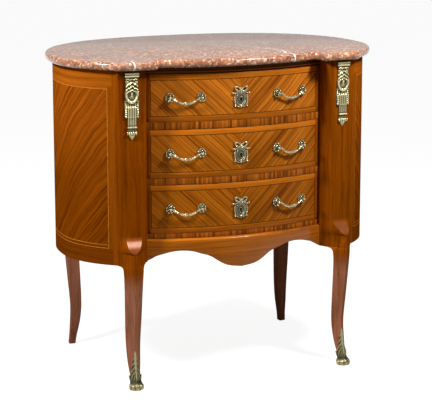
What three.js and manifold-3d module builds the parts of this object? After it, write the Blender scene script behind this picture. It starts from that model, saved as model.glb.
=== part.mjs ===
// A commode chest on cabriole legs: an oval body with three bowed drawers between two chamfered
// front posts, a marble top, and cast bronze chutes, sabots, keyhole plates and drop handles.
// Millimetres, +Z up. The origin is on the floor under the middle of the chest, and -Y is the front.

import * as THREE from 'three';
import { mergeVertices } from 'three/addons/utils/BufferGeometryUtils.js';
import Module from 'manifold-3d';

const wasm = await Module();
wasm.setup();

// Fits and cuts
const seatGap = 0.3;
const slideGap = 0.5;
const runningGap = 1;
const overrun = 5;

// Marble
const marbleThickness = 21;
const marbleTop = 850;
const marbleOverhang = 19;
const marbleFrontOverhang = 22.5;
const marbleStepOverhang = 19.5;
const marbleEdgeInset = 8;
const marbleCreaseRadius = 9;
const marbleCornerRadius = 20;

// Oval body, seen from above
const bodyHalfWidth = 423.7;
const bodyFrontDepth = 271;
const bodyBackDepth = 336;
const ovalCentreY = -61.7;
const frontPower = 2.1;
const backPower = 2.35;
const bodyTop = marbleTop - marbleThickness;
const bodySkirt = 58.5;
const panelThickness = 20;
const topBoardThickness = 16;

// Bowed front between the posts. Forward sizes here and for the posts are measured from the front
// edge of the side panels, and across from the side of the drawer opening.
const frontCornerWidth = 178.2;
const openingHalfWidth = bodyHalfWidth - frontCornerWidth;
const bowDepth = 47.74;
const bowForward = 24.85;
const frameDepth = 64.25;
const topRailHeight = 17;
const dividerHeights = [19.1, 17];
const bottomRailHeight = 12.5;
const openingHeights = [124.5, 127.4, 129];
const lipReach = 4.5;
const lipHeight = 5;
const lipDrop = 8.5;

// Apron
const apronDrop = 82;
const apronForward = 10.3;
const apronThickness = 28;
const apronEdgeRadius = 7.5;

// Front posts: the section at the top and at the knee, given for the right post
const postWidth = 87.5;
const postInnerWidth = 54.5;
const revealAcross = 4;
const postTongueDepth = 22;
const kneeRise = 86;
const tongueDrop = 15;
const tongueLength = 35;
const postTopSection = {
  revealForward: 0.45, faceInAcross: 13, faceInForward: 19.75, faceOutAcross: 85.5, faceOutForward: 12.75
};
const postKneeSection = {
  revealForward: -9.75, faceInAcross: 23, faceInForward: 17.25, faceOutAcross: 75.5, faceOutForward: 12.25
};
const tonguePower = 0.85;

// Rear posts
const rearPostInset = 107.7;
const rearPostHalfWidth = 26;
const rearPostDepth = 40;
const rearKneeReach = 17;
const rearKneeHeight = 90;

// Cabriole legs
const legRootDrop = 16;
const legHalfDiagonal = 23.5;
const frontAnkleAcross = 48.5;
const frontAnkleForward = 5.75;
const frontLegTurn = THREE.MathUtils.degToRad(6);
const frontKneeSway = 16.5;
const frontToeSway = 30;
const rearAnkleInset = 3;
const rearKneeSway = 12;
const rearToeSway = 15.5;
const legHeightShares = [1, 0.94, 0.78, 0.6, 0.37, 0.21, 0.08, 0];
const kneeSwayShares = [1, 1, 0.73, 0.375, 0, 0, 0, 0];
const toeSwayShares = [0, 0, 0, 0, 0, 0.28, 0.74, 1];
const legWidthShares = [1.13, 1.08, 1.005, 0.945, 0.83, 0.723, 0.56, 0.53];

// Sabots
const sabotSole = 4;
const sabotWall = 2.2;
const sabotLeafHeight = 101;
const sabotSideHeight = 58;
const sabotBackHeight = 46;
const sabotBaseRadius = 17.5;
const sabotBaseHeight = 20;
const sabotForward = 4.2;

// Drawers
const drawerFrontThickness = 22;
const drawerSideThickness = 11;
const drawerBackThickness = 10;
const drawerRearSpace = 23.99;
const drawerSideStep = 5;
const drawerBottomRise = 8;
const drawerBottomThickness = 8;
const grooveDepth = 4;
const lapThickness = 6;
const tailCount = 3;
const tailNeckShare = 0.24;
const tailTipShare = 0.33;
const runnerWidth = 40.5;
const guideWidth = 16.5;
const guideHeight = 20;

// Locks
const lockWidth = 60;
const lockMargin = 16;
const lockThickness = 14;
const lockInset = 6;
const boltWidth = 22;
const boltThickness = 6;
const boltHeight = 40;
const boltTravel = 7;
const boltHeadroom = 1.5;
const keyholeRadius = 2.6;
const keySlotHalfWidth = 1.3;
const keySlotDrop = 8;
const keyholeShare = 0.44;

// Drop handles
const handleShift = 7.65;
const rosetteSpacing = 80;
const rosetteShare = 0.506;
const rosetteRadius = 12;
const rosettePetalDepth = 0.9;
const rosettePetals = 8;
const rosetteThickness = 2.6;
const rosetteDomeFootShare = 0.6;
const rosetteDomeNeckShare = 1.2;
const rosetteDomeRadius = 6;
const rosetteDomeHeight = 3.4;
const rosetteCrestHeight = 5.5;
const studRadius = 2.2;
const studHeadRadius = 4.4;
const studHeadFootShare = 0.8;
const studHeadBandShare = 0.3;
const pivotReach = 13;
const nutRadius = 5.5;
const nutThickness = 3;
const nutRunOut = 0.9;
const pinRadius = 1.6;
const bailDrop = 14.5;
const bailKnobRadius = 4.8;
const bailPinShare = 0.7;

// Keyhole plates
const plateHalfWidth = 13;
const plateHalfHeight = 19;
const plateThickness = 1.8;
const frameWidth = 3.4;
const frameThickness = 4;
const ribbonThickness = 3.2;
const bowRise = 25;
const bowSpread = 10.5;
const bowLoopHalfLength = 9.5;
const bowLoopHalfWidth = 5.2;
const ribbonWidth = 2.6;
const ribbonReach = 29;
const bowTilt = THREE.MathUtils.degToRad(28);
const knotRadius = 3.6;

// Chutes
const chuteDrop = 6;
const chuteHalfWidth = 18.7;
const chuteHeight = 172;
const chutePlate = 3.5;
const chuteRelief = 9;
const chuteBeadRadius = 2.1;
const chuteRibRadius = 2.4;
const chuteBeads = 7;

// How finely curves are divided
const bowSteps = 14;
const innerBowSteps = 8;
const tongueSteps = 6;
const keyholePoints = 3;
const ovalPoints = 12;
const loopPoints = 8;
const cornerSteps = 4;
const panelSteps = 10;
const marbleSteps = 17;
const marbleEdgeSteps = 4;
const knobSides = 6;
const bailSides = 5;
const legStepsPerSpan = 2;
const apronSteps = 5;

const wood = (name, colour) => new THREE.MeshStandardMaterial({ name, color: colour, roughness: 0.35 });
const showWood = wood('veneer', 0x9c5a22);
const legWood = wood('solid_wood', 0x8a4a2a);
const insideWood = wood('drawer_lining', 0xb8925e);
const bronze = new THREE.MeshStandardMaterial({
  name: 'bronze', color: 0x8d7f4e, roughness: 0.45, metalness: 1
});
const steel = new THREE.MeshStandardMaterial({
  name: 'steel', color: 0x77787a, roughness: 0.5, metalness: 1
});
const marbleStone = new THREE.MeshStandardMaterial({ name: 'marble', color: 0xb98570, roughness: 0.2 });

const chest = new THREE.Group();

// Solids

function addPiece(parent, name, geometry, material) {
  const mesh = new THREE.Mesh(geometry, material);
  mesh.name = name;
  parent.add(mesh);
  return mesh;
}

function toSolid(geometry) {
  const bare = geometry.clone();
  bare.deleteAttribute('normal');
  bare.deleteAttribute('uv');
  const merged = mergeVertices(bare);
  return new wasm.Manifold(new wasm.Mesh({
    numProp: 3,
    vertProperties: new Float32Array(merged.attributes.position.array),
    triVerts: new Uint32Array(merged.index.array)
  }));
}

function toGeometry(solid) {
  const mesh = solid.getMesh();
  const geometry = new THREE.BufferGeometry();
  geometry.setAttribute('position', new THREE.BufferAttribute(new Float32Array(mesh.vertProperties), 3));
  geometry.setIndex(new THREE.BufferAttribute(new Uint32Array(mesh.triVerts), 1));
  return geometry;
}

function cut(geometry, tools) {
  return toGeometry(tools.reduce((solid, tool) => solid.subtract(toSolid(tool)), toSolid(geometry)));
}

function join(geometries) {
  const [first, ...rest] = geometries.map(toSolid);
  return toGeometry(rest.reduce((solid, other) => solid.add(other), first));
}

function signedVolume(positions, index) {
  const a = new THREE.Vector3();
  const b = new THREE.Vector3();
  const c = new THREE.Vector3();
  let volume = 0;
  for (let i = 0; i < index.length; i += 3) {
    a.fromArray(positions, index[i] * 3);
    b.fromArray(positions, index[i + 1] * 3);
    c.fromArray(positions, index[i + 2] * 3);
    volume += a.dot(b.cross(c));
  }
  return volume;
}

function solidFrom(positions, index) {
  const outward = signedVolume(positions, index) > 0 ? index : index.slice().reverse();
  const geometry = new THREE.BufferGeometry();
  geometry.setAttribute('position', new THREE.Float32BufferAttribute(positions, 3));
  geometry.setIndex(outward);
  return geometry;
}

// A solid skinned over a row of rings that have equal numbers of points. Each end is closed by a fan
// of triangles round the middle of its ring.
function loft(rings) {
  const count = rings[0].length;
  const last = (rings.length - 1) * count;
  const middles = [rings[0], rings[rings.length - 1]].map((ring) => (
    ring.reduce((sum, point) => sum.add(point), new THREE.Vector3()).divideScalar(count)
  ));
  const firstMiddle = last + count;
  const lastMiddle = firstMiddle + 1;
  const index = [];
  for (let i = 0; i < count; i += 1) {
    const next = (i + 1) % count;
    for (let start = 0; start < last; start += count) {
      const a = start + i;
      const b = start + next;
      index.push(a, b, b + count, a, b + count, a + count);
    }
    index.push(firstMiddle, next, i, lastMiddle, last + i, last + next);
  }
  return solidFrom([...rings.flat(), ...middles].flatMap((point) => [point.x, point.y, point.z]), index);
}

// An outline seen from above, raised from one height to another
function prism(outline, low, high) {
  const shape = new THREE.Shape(outline);
  return new THREE.ExtrudeGeometry(shape, { depth: high - low, bevelEnabled: false }).translate(0, 0, low);
}

// An outline in the Y-Z plane, carried along X
function sidePlate(outline, left, right) {
  const plate = new THREE.ExtrudeGeometry(new THREE.Shape(outline), {
    depth: right - left,
    bevelEnabled: false
  });
  const turn = new THREE.Matrix4().makeBasis(
    new THREE.Vector3(0, 1, 0), new THREE.Vector3(0, 0, 1), new THREE.Vector3(1, 0, 0)
  );
  return plate.applyMatrix4(turn).translate(left, 0, 0);
}

// An outline in the X-Z plane, given thickness towards the front from the plane Y = back
function facePlate(shape, thickness, back, curveSegments) {
  const plate = new THREE.ExtrudeGeometry(shape, { depth: thickness, bevelEnabled: false, curveSegments });
  return plate.rotateX(Math.PI / 2).translate(0, back, 0);
}

function block(x0, x1, y0, y1, z0, z1) {
  const box = new THREE.BoxGeometry(x1 - x0, y1 - y0, z1 - z0);
  return box.translate((x0 + x1) / 2, (y0 + y1) / 2, (z0 + z1) / 2);
}

function mirrored(geometry) {
  const flipped = geometry.index ? geometry.clone() : mergeVertices(geometry);
  flipped.scale(-1, 1, 1);
  flipped.setIndex(Array.from(flipped.index.array).reverse());
  return flipped;
}

// Adds a right-hand piece and its mirror image
function addPair(parent, name, geometry, material) {
  addPiece(parent, `${name}_right`, geometry, material);
  addPiece(parent, `${name}_left`, mirrored(geometry), material);
}

// Moves each side of an outline outwards by the same distance, or inwards if it is negative
function offsetOutline(points, distance) {
  const turn = Math.sign(THREE.ShapeUtils.area(points));
  return points.map((point, i) => {
    const before = points[(i + points.length - 1) % points.length];
    const after = points[(i + 1) % points.length];
    const sideIn = point.clone().sub(before).normalize();
    const sideOut = after.clone().sub(point).normalize();
    const normalIn = new THREE.Vector2(sideIn.y, -sideIn.x).multiplyScalar(turn);
    const normalOut = new THREE.Vector2(sideOut.y, -sideOut.x).multiplyScalar(turn);
    const mitre = normalIn.clone().add(normalOut).normalize();
    return point.clone().addScaledVector(mitre, distance / mitre.dot(normalOut));
  });
}

// Replaces a corner by a curve that starts and ends at the given distance from it
function roundedCorner(before, corner, after, reach) {
  const start = corner.clone().lerp(before, Math.min(1, reach / corner.distanceTo(before)));
  const end = corner.clone().lerp(after, Math.min(1, reach / corner.distanceTo(after)));
  return new THREE.QuadraticBezierCurve(start, corner, end).getPoints(cornerSteps);
}

// The oval

const signedPower = (value, power) => Math.sign(value) * Math.abs(value) ** power;

function ovalPoint(angle, outset = 0) {
  const isFront = Math.sin(angle) < 0;
  const power = 2 / (isFront ? frontPower : backPower);
  const depth = (isFront ? bodyFrontDepth : bodyBackDepth) + outset;
  return new THREE.Vector2(
    signedPower(Math.cos(angle), power) * (bodyHalfWidth + outset),
    ovalCentreY + signedPower(Math.sin(angle), power) * depth
  );
}

// The angle at which the right half of the oval reaches a given width
function ovalAngleAt(x, isFront, outset = 0) {
  const power = isFront ? frontPower : backPower;
  const angle = Math.acos(Math.min(1, x / (bodyHalfWidth + outset)) ** (power / 2));
  return isFront ? -angle : angle;
}

// The angle reached by going a short way along the oval, anticlockwise from above
function ovalAngleAfter(angle, distance) {
  const nearby = 1e-4;
  const speed = ovalPoint(angle + nearby).distanceTo(ovalPoint(angle - nearby)) / (2 * nearby);
  return angle + distance / speed;
}

function ovalNormal(angle) {
  const nearby = 1e-4;
  const tangent = ovalPoint(angle + nearby).sub(ovalPoint(angle - nearby)).normalize();
  return new THREE.Vector2(tangent.y, -tangent.x);
}

function ovalArc(from, to, steps, outset) {
  return Array.from({ length: steps + 1 }, (_, i) => ovalPoint(from + (to - from) * i / steps, outset));
}

const sidePanelFrontX = openingHalfWidth + postWidth;
const frontPanelAngle = ovalAngleAt(sidePanelFrontX, true);
const panelEdge = ovalPoint(frontPanelAngle);
const rearPostAngle = ovalAngleAt(bodyHalfWidth - rearPostInset, false);
const rearPostStart = ovalAngleAfter(rearPostAngle, -rearPostHalfWidth);
const rearPostEnd = ovalAngleAfter(rearPostAngle, rearPostHalfWidth);

// Heights of the openings, from the top drawer down, and of what hangs on them

const openingTops = [];
const openingBottoms = [];
openingHeights.forEach((height, i) => {
  const top = i === 0 ? bodyTop - topRailHeight : openingBottoms[i - 1] - dividerHeights[i - 1];
  openingTops.push(top);
  openingBottoms.push(top - height);
});
const bottomRailTop = openingBottoms[openingBottoms.length - 1];
const bottomRailLow = bottomRailTop - bottomRailHeight;
const apronTop = bottomRailLow - slideGap;
const bodyBottom = bottomRailLow - bodySkirt;
const legRootHeight = bodyBottom - legRootDrop;
const kneeHeight = bodyBottom + kneeRise;
const tongueTop = kneeHeight - tongueDrop;
const tongueTip = tongueTop - tongueLength;

// The bowed front

const bowCentreY = panelEdge.y - bowForward;
const frameBackY = panelEdge.y + frameDepth;

// Y of the front surface of drawers and rails, or of a surface a given distance in front of it
const bowY = (x, forward = 0) => bowCentreY + bowDepth * (x / openingHalfWidth) ** 2 - forward;

function bowCurve(from, to, forward, steps = bowSteps) {
  return Array.from({ length: steps + 1 }, (_, i) => {
    const x = from + (to - from) * i / steps;
    return new THREE.Vector2(x, bowY(x, forward));
  });
}

// A corner of the right front post's section, seen from above
function postPoint(section, corner) {
  return new THREE.Vector2(
    openingHalfWidth + section[`${corner}Across`], panelEdge.y - section[`${corner}Forward`]
  );
}

// Marble top

function marbleHalfOutline() {
  const forward = new THREE.Vector2(0, -marbleFrontOverhang);
  const faceIn = postPoint(postTopSection, 'faceIn').add(forward);
  const faceOut = postPoint(postTopSection, 'faceOut').add(forward);
  const faceSlope = (faceOut.y - faceIn.y) / (faceOut.x - faceIn.x);
  const stepX = openingHalfWidth - marbleStepOverhang;
  const crease = new THREE.Vector2(stepX, bowY(stepX, marbleFrontOverhang));
  const innerCorner = new THREE.Vector2(stepX, faceIn.y + faceSlope * (stepX - faceIn.x));
  const outerX = faceOut.x + marbleOverhang / 2;
  const outerCorner = new THREE.Vector2(outerX, faceOut.y + faceSlope * (outerX - faceOut.x));
  const joinX = sidePanelFrontX + marbleOverhang * Math.cos(frontPanelAngle);
  const joinAngle = ovalAngleAt(joinX, true, marbleOverhang);
  const joinPoint = ovalPoint(joinAngle, marbleOverhang);
  const bow = bowCurve(0, stepX - marbleCreaseRadius, marbleFrontOverhang, bowSteps / 2);
  return [
    ...bow.slice(0, -1),
    ...roundedCorner(bow[bow.length - 1], crease, innerCorner, marbleCreaseRadius),
    ...roundedCorner(crease, innerCorner, outerCorner, marbleCornerRadius),
    ...roundedCorner(innerCorner, outerCorner, joinPoint, marbleCornerRadius),
    ...ovalArc(joinAngle, Math.PI / 2, marbleSteps, marbleOverhang)
  ];
}

function marbleGeometry() {
  const half = marbleHalfOutline();
  const otherHalf = half.slice(1, -1).reverse().map((point) => new THREE.Vector2(-point.x, point.y));
  const outline = [...half, ...otherHalf];
  const rings = Array.from({ length: marbleEdgeSteps + 1 }, (_, i) => {
    const turn = Math.PI * (i / marbleEdgeSteps - 0.5);
    const z = (bodyTop + marbleTop) / 2 + marbleThickness / 2 * Math.sin(turn);
    const inset = marbleEdgeInset * (1 - Math.cos(turn));
    return offsetOutline(outline, -inset).map((point) => new THREE.Vector3(point.x, point.y, z));
  });
  return loft(rings);
}

addPiece(chest, 'marble_top', marbleGeometry(), marbleStone);

// Cabriole legs

// Centre, half diagonal and height of the leg at stations from its root down to its foot
function legStations(ankle, direction, kneeSway, toeSway, footHeight) {
  const points = legHeightShares.map((heightShare, i) => {
    const sway = kneeSwayShares[i] * kneeSway + toeSwayShares[i] * toeSway;
    const height = footHeight + heightShare * (legRootHeight - footHeight);
    return new THREE.Vector3(sway, legWidthShares[i] * legHalfDiagonal, height);
  });
  const spans = points.length - 1;
  return new THREE.CatmullRomCurve3(points).getPoints(spans * legStepsPerSpan).map((point) => ({
    centre: ankle.clone().addScaledVector(direction, point.x),
    half: point.y,
    height: point.z
  }));
}

// The eight points of a square leg set corner forward. They run anticlockwise from above,
// starting at the corner a quarter turn before the outward one.
function legSection(station, direction) {
  const across = new THREE.Vector2(-direction.y, direction.x);
  const corners = [
    across.clone().negate(), direction.clone(), across.clone(), direction.clone().negate()
  ].map((offset) => station.centre.clone().addScaledVector(offset, station.half));
  return corners.flatMap((corner, i) => [corner, corner.clone().lerp(corners[(i + 1) % 4], 0.5)]);
}

const atHeight = (outline, z) => outline.map((point) => new THREE.Vector3(point.x, point.y, z));

// The flare by which a leg leaves the underside of the body: how far down, and how far it has drawn in
const flareDropShares = [0.15, 0.42];
const flareDrawShares = [0.78, 0.93];

function flareRings(postSection, rootSection, topHeight, rootHeight) {
  return flareDropShares.map((dropShare, i) => {
    const outline = postSection.map((point, k) => point.clone().lerp(rootSection[k], flareDrawShares[i]));
    return atHeight(outline, topHeight + (rootHeight - topHeight) * dropShare);
  });
}

// Front posts

function meetingPoint(a, b, c, d) {
  const first = b.clone().sub(a);
  const second = d.clone().sub(c);
  const share = c.clone().sub(a).cross(second) / first.cross(second);
  return a.clone().addScaledVector(first, share);
}

const revealX = openingHalfWidth + revealAcross;

// The corners of the right front post at a height, and how much of its chamfer is left there
function postCorners(z) {
  const share = (bodyTop - z) / (bodyTop - kneeHeight);
  const sizes = {};
  Object.keys(postTopSection).forEach((key) => {
    sizes[key] = THREE.MathUtils.lerp(postTopSection[key], postKneeSection[key], share);
  });
  const reveal = new THREE.Vector2(revealX, panelEdge.y - sizes.revealForward);
  const faceIn = postPoint(sizes, 'faceIn');
  const faceOut = postPoint(sizes, 'faceOut');
  const arris = meetingPoint(reveal, faceIn, panelEdge, faceOut);
  const tongueShare = THREE.MathUtils.clamp((z - tongueTip) / (tongueTop - tongueTip), 0, 1);
  const openShare = Math.sin(Math.PI / 2 * tongueShare ** tonguePower);
  return { reveal, faceIn, faceOut, arris, openShare };
}

const postInnerX = openingHalfWidth + postInnerWidth;
const revealFoot = new THREE.Vector2(openingHalfWidth, bowY(openingHalfWidth, apronForward));

function postBackCorners() {
  return [
    ovalPoint(frontPanelAngle, -postTongueDepth),
    new THREE.Vector2(postInnerX, frameBackY),
    new THREE.Vector2(openingHalfWidth, frameBackY),
    revealFoot
  ];
}

function chamferedSection(z) {
  const { reveal, faceIn, faceOut, arris, openShare } = postCorners(z);
  const inner = arris.clone().lerp(faceIn, openShare);
  const outer = arris.clone().lerp(faceOut, openShare);
  return [reveal, inner, inner.clone().lerp(outer, 0.5), outer, panelEdge, ...postBackCorners()];
}

// Below the chamfer the post comes to an edge, which swells forward into the knee
function edgedSection(edge) {
  const { reveal } = postCorners(tongueTip);
  return [
    reveal, reveal.clone().lerp(edge, 0.5), edge, edge.clone().lerp(panelEdge, 0.5), panelEdge,
    ...postBackCorners()
  ];
}

const frontLegDirection = new THREE.Vector2(Math.sin(frontLegTurn), -Math.cos(frontLegTurn));
const frontAnkle = new THREE.Vector2(openingHalfWidth + frontAnkleAcross, panelEdge.y - frontAnkleForward);
const frontLegFoot = sabotSole + seatGap;
const frontStations = legStations(frontAnkle, frontLegDirection, frontKneeSway, frontToeSway, frontLegFoot);

// A leg's section with as many points as the post above it
function postLegSection(station) {
  const section = legSection(station, frontLegDirection);
  const turnBack = section[section.length - 1].clone().lerp(section[0], 0.5);
  return [...section, turnBack];
}

function frontPostGeometry() {
  const rootSection = postLegSection(frontStations[0]);
  const tongueHeights = Array.from({ length: tongueSteps + 1 }, (_, i) => (
    tongueTop + (tongueTip - tongueTop) * i / tongueSteps
  ));
  const chamfered = [bodyTop, kneeHeight, ...tongueHeights].map((z) => atHeight(chamferedSection(z), z));
  const kneeEdge = postCorners(tongueTip).arris;
  const swellShares = [0.25, 0.6, 1];
  const edged = swellShares.map((share) => {
    const eased = THREE.MathUtils.smoothstep(share, 0, 1);
    const z = THREE.MathUtils.lerp(tongueTip, bodyBottom, share);
    return atHeight(edgedSection(kneeEdge.clone().lerp(rootSection[2], eased)), z);
  });
  const lowest = edgedSection(rootSection[2]);
  const flare = flareRings(lowest, rootSection, bodyBottom, legRootHeight);
  const leg = frontStations.map((station) => atHeight(postLegSection(station), station.height));
  return loft([...chamfered, ...edged, ...flare, ...leg]);
}

addPair(chest, 'front_post', frontPostGeometry(), legWood);

// Rear posts

const rearLegDirection = ovalNormal(rearPostAngle);
const rearAnkle = ovalPoint(rearPostAngle).addScaledVector(rearLegDirection, -rearAnkleInset);
const rearStations = legStations(rearAnkle, rearLegDirection, rearKneeSway, rearToeSway, 0);

// Flush with the oval, but for a knee of a given reach at the middle
function rearPostSection(kneeReach) {
  const outer = ovalArc(rearPostStart, rearPostEnd, 4, 0);
  outer[1].addScaledVector(rearLegDirection, kneeReach / 2);
  outer[2].addScaledVector(rearLegDirection, kneeReach);
  outer[3].addScaledVector(rearLegDirection, kneeReach / 2);
  const inner = [rearPostEnd, rearPostAngle, rearPostStart].map((angle) => (
    ovalPoint(angle, -rearPostDepth)
  ));
  return [...outer, ...inner];
}

function rearPostGeometry() {
  const rootSection = legSection(rearStations[0], rearLegDirection);
  const riseShares = [1, 0.6, 0.3, 0];
  const knee = riseShares.map((share) => {
    const reach = rearKneeReach * (1 - share) ** 2;
    return atHeight(rearPostSection(reach), bodyBottom + rearKneeHeight * share);
  });
  const flare = flareRings(rearPostSection(rearKneeReach), rootSection, bodyBottom, legRootHeight);
  const leg = rearStations.map((station) => atHeight(legSection(station, rearLegDirection), station.height));
  return loft([atHeight(rearPostSection(0), bodyTop), ...knee, ...flare, ...leg]);
}

addPair(chest, 'rear_post', rearPostGeometry(), legWood);

// Sides and back

// A curve along one panel, inset from its outer face, which stops just short of the posts
function panelArc(from, to, steps, inset) {
  return ovalArc(ovalAngleAfter(from, seatGap), ovalAngleAfter(to, -seatGap), steps, -inset);
}

function panelOutline(from, to, steps) {
  return [...panelArc(from, to, steps, 0), ...panelArc(from, to, steps, panelThickness).reverse()];
}

const sideOutline = panelOutline(frontPanelAngle, rearPostStart, panelSteps);
addPair(chest, 'side_panel', prism(sideOutline, bodyBottom, bodyTop), showWood);

const backOutline = panelOutline(rearPostEnd, Math.PI - rearPostEnd, 2 * panelSteps);
addPiece(chest, 'back_panel', prism(backOutline, bodyBottom, bodyTop), showWood);

// Rails between the posts

const runnerInnerX = openingHalfWidth - runnerWidth;
const runnerOuterX = openingHalfWidth + guideWidth;
const runnerBackAngle = ovalAngleAt(runnerOuterX, false, -panelThickness);
const runnerBackY = ovalPoint(runnerBackAngle, -panelThickness).y - seatGap;

// The top rail carries a thin rounded lip along its front
function topRailGeometry() {
  const low = bodyTop - topRailHeight;
  const lipTop = bodyTop - lipDrop;
  const lipMiddle = lipTop - lipHeight / 2;
  const profile = [
    [0, low], [0, lipTop - lipHeight], [lipReach, lipMiddle - lipHeight * 0.2],
    [lipReach, lipMiddle + lipHeight * 0.2], [0, lipTop], [0, bodyTop]
  ];
  const rings = bowCurve(-openingHalfWidth, openingHalfWidth, 0).map(({ x }) => [
    ...profile.map(([forward, z]) => new THREE.Vector3(x, bowY(x, forward), z)),
    new THREE.Vector3(x, frameBackY, bodyTop),
    new THREE.Vector3(x, frameBackY, low)
  ]);
  return loft(rings);
}

// Each lock bolt rises into a slot in the rail above its drawer
const lockBackY = bowCentreY + drawerFrontThickness + lockThickness - lockInset;
const boltBackY = lockBackY - (lockThickness - boltThickness) / 2;
const boltFrontY = boltBackY - boltThickness;

function boltSlot(railLow) {
  const half = boltWidth / 2 + slideGap;
  const reach = boltTravel + boltHeadroom;
  return block(-half, half, boltFrontY - slideGap, boltBackY + slideGap, railLow - overrun, railLow + reach);
}

const topRail = cut(topRailGeometry(), [boltSlot(openingTops[0])]);
addPiece(chest, 'top_rail', topRail, showWood);

// Strips that guide the sides of a drawer
function guides(railTop) {
  const guide = block(
    openingHalfWidth, runnerOuterX, frameBackY, runnerBackY, railTop - seatGap, railTop + guideHeight
  );
  return [guide, mirrored(guide)];
}

// A divider: a rail between the posts, with a runner and a guide behind it on either side
function dividerOutline() {
  const right = [
    new THREE.Vector2(openingHalfWidth, frameBackY), new THREE.Vector2(runnerOuterX, frameBackY),
    new THREE.Vector2(runnerOuterX, runnerBackY), new THREE.Vector2(runnerInnerX, runnerBackY),
    new THREE.Vector2(runnerInnerX, frameBackY)
  ];
  const left = right.map(({ x, y }) => new THREE.Vector2(-x, y)).reverse();
  return [...bowCurve(-openingHalfWidth, openingHalfWidth, 0), ...right, ...left];
}

dividerHeights.forEach((height, i) => {
  const top = openingBottoms[i];
  const frame = join([prism(dividerOutline(), top - height, top), ...guides(top)]);
  addPiece(chest, `divider_frame_${i + 1}`, cut(frame, [boltSlot(top - height)]), showWood);
});

// Apron

// Its lower edge from the middle outwards, which has a cusp at one of the places
const apronAcrossShares = [0, 0.137, 0.228, 0.319, 0.385, 0.451, 0.534, 0.642, 0.745, 0.828, 0.911, 0.951, 1];
const apronDropShares = [1, 0.94, 0.83, 0.646, 0.549, 0.495, 0.415, 0.378, 0.402, 0.463, 0.54, 0.61, 0.69];
const apronCuspPlace = 4;

function apronGeometry() {
  const points = apronAcrossShares.map((share, i) => (
    new THREE.Vector2(share * openingHalfWidth, apronTop - apronDropShares[i] * apronDrop)
  ));
  const toCusp = new THREE.SplineCurve(points.slice(0, apronCuspPlace + 1)).getPoints(apronSteps);
  const fromCusp = new THREE.SplineCurve(points.slice(apronCuspPlace)).getPoints(2 * apronSteps);
  const half = [...toCusp, ...fromCusp.slice(1)];
  const lower = [...half.slice(1).reverse().map(({ x, y }) => new THREE.Vector2(-x, y)), ...half];
  const backForward = apronForward - apronThickness;
  const rings = lower.map(({ x, y: low }) => {
    const corner = Array.from({ length: cornerSteps }, (_, i) => {
      const turn = Math.PI / 2 * i / (cornerSteps - 1);
      return [
        apronForward - apronEdgeRadius * (1 - Math.cos(turn)),
        apronTop - apronEdgeRadius * (1 - Math.sin(turn))
      ];
    });
    return [[backForward, low], [apronForward, low], ...corner, [backForward, apronTop]]
      .map(([forward, z]) => new THREE.Vector3(x, bowY(x, forward), z));
  });
  return loft(rings);
}

addPiece(chest, 'apron', apronGeometry(), showWood);

// Boards inside the body

function boardGeometry(low, high) {
  const inset = panelThickness + seatGap;
  const side = panelArc(frontPanelAngle, rearPostStart, panelSteps, inset);
  const back = panelArc(rearPostEnd, Math.PI - rearPostEnd, 2 * panelSteps, inset);
  const otherSide = side.map(({ x, y }) => new THREE.Vector2(-x, y)).reverse();
  const inside = [...side, ...back, ...otherSide];
  const front = block(
    -postInnerX, postInnerX, bowCentreY - overrun, frameBackY, low - overrun, high + overrun
  );
  const notches = [chamferedSection(high), rearPostSection(0)].map((outline) => (
    prism(offsetOutline(outline, seatGap), low - overrun, high + overrun)
  ));
  return cut(prism(inside, low, high), [front, ...notches, ...notches.map(mirrored)]);
}

addPiece(chest, 'top_board', boardGeometry(bodyTop - topBoardThickness, bodyTop), insideWood);

// The bottom board, whose veneered front edge is the rail under the lowest drawer
const bottomEdge = [
  ...bowCurve(-openingHalfWidth, openingHalfWidth, 0),
  new THREE.Vector2(openingHalfWidth, frameBackY + seatGap),
  new THREE.Vector2(-openingHalfWidth, frameBackY + seatGap)
];
const bottomBoard = join([
  boardGeometry(bottomRailLow, bottomRailTop), prism(bottomEdge, bottomRailLow, bottomRailTop),
  ...guides(bottomRailTop)
]);
addPiece(chest, 'bottom_board', bottomBoard, showWood);

// Drawers

const drawerHalfWidth = openingHalfWidth - runningGap;
const sideInnerX = drawerHalfWidth - drawerSideThickness;
const frontShoulderY = bowY(drawerHalfWidth) + drawerFrontThickness;
const frontTipY = bowY(drawerHalfWidth) + lapThickness;
const drawerBackY = runnerBackY - drawerRearSpace;
const backShoulderY = drawerBackY - drawerBackThickness;

// The outlines of a row of dovetails in the Y-Z plane, each wider at its tip than at its neck
function tails(low, high, neckY, tipY, growth) {
  const pitch = (high - low) / tailCount;
  const towards = Math.sign(tipY - neckY);
  return Array.from({ length: tailCount }, (_, i) => {
    const middle = low + pitch * (i + 0.5);
    const neck = pitch * tailNeckShare + growth;
    const tip = pitch * tailTipShare + growth;
    const end = tipY + towards * growth;
    return [
      new THREE.Vector2(neckY, middle - neck), new THREE.Vector2(end, middle - tip),
      new THREE.Vector2(end, middle + tip), new THREE.Vector2(neckY, middle + neck)
    ];
  });
}

function tailSockets(low, high, neckY, tipY, throughRun) {
  return tails(low, high, neckY, tipY, seatGap).map((outline) => {
    const towards = Math.sign(tipY - neckY);
    const [neckLow, tipLow, tipHigh, neckHigh] = outline;
    const startY = neckY - towards * overrun;
    const endRun = towards * throughRun;
    return sidePlate([
      new THREE.Vector2(startY, neckLow.y), neckLow, tipLow, tipLow.clone().setX(tipLow.x + endRun),
      tipHigh.clone().setX(tipHigh.x + endRun), tipHigh, neckHigh, new THREE.Vector2(startY, neckHigh.y)
    ], sideInnerX - seatGap, drawerHalfWidth + overrun);
  });
}

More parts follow.
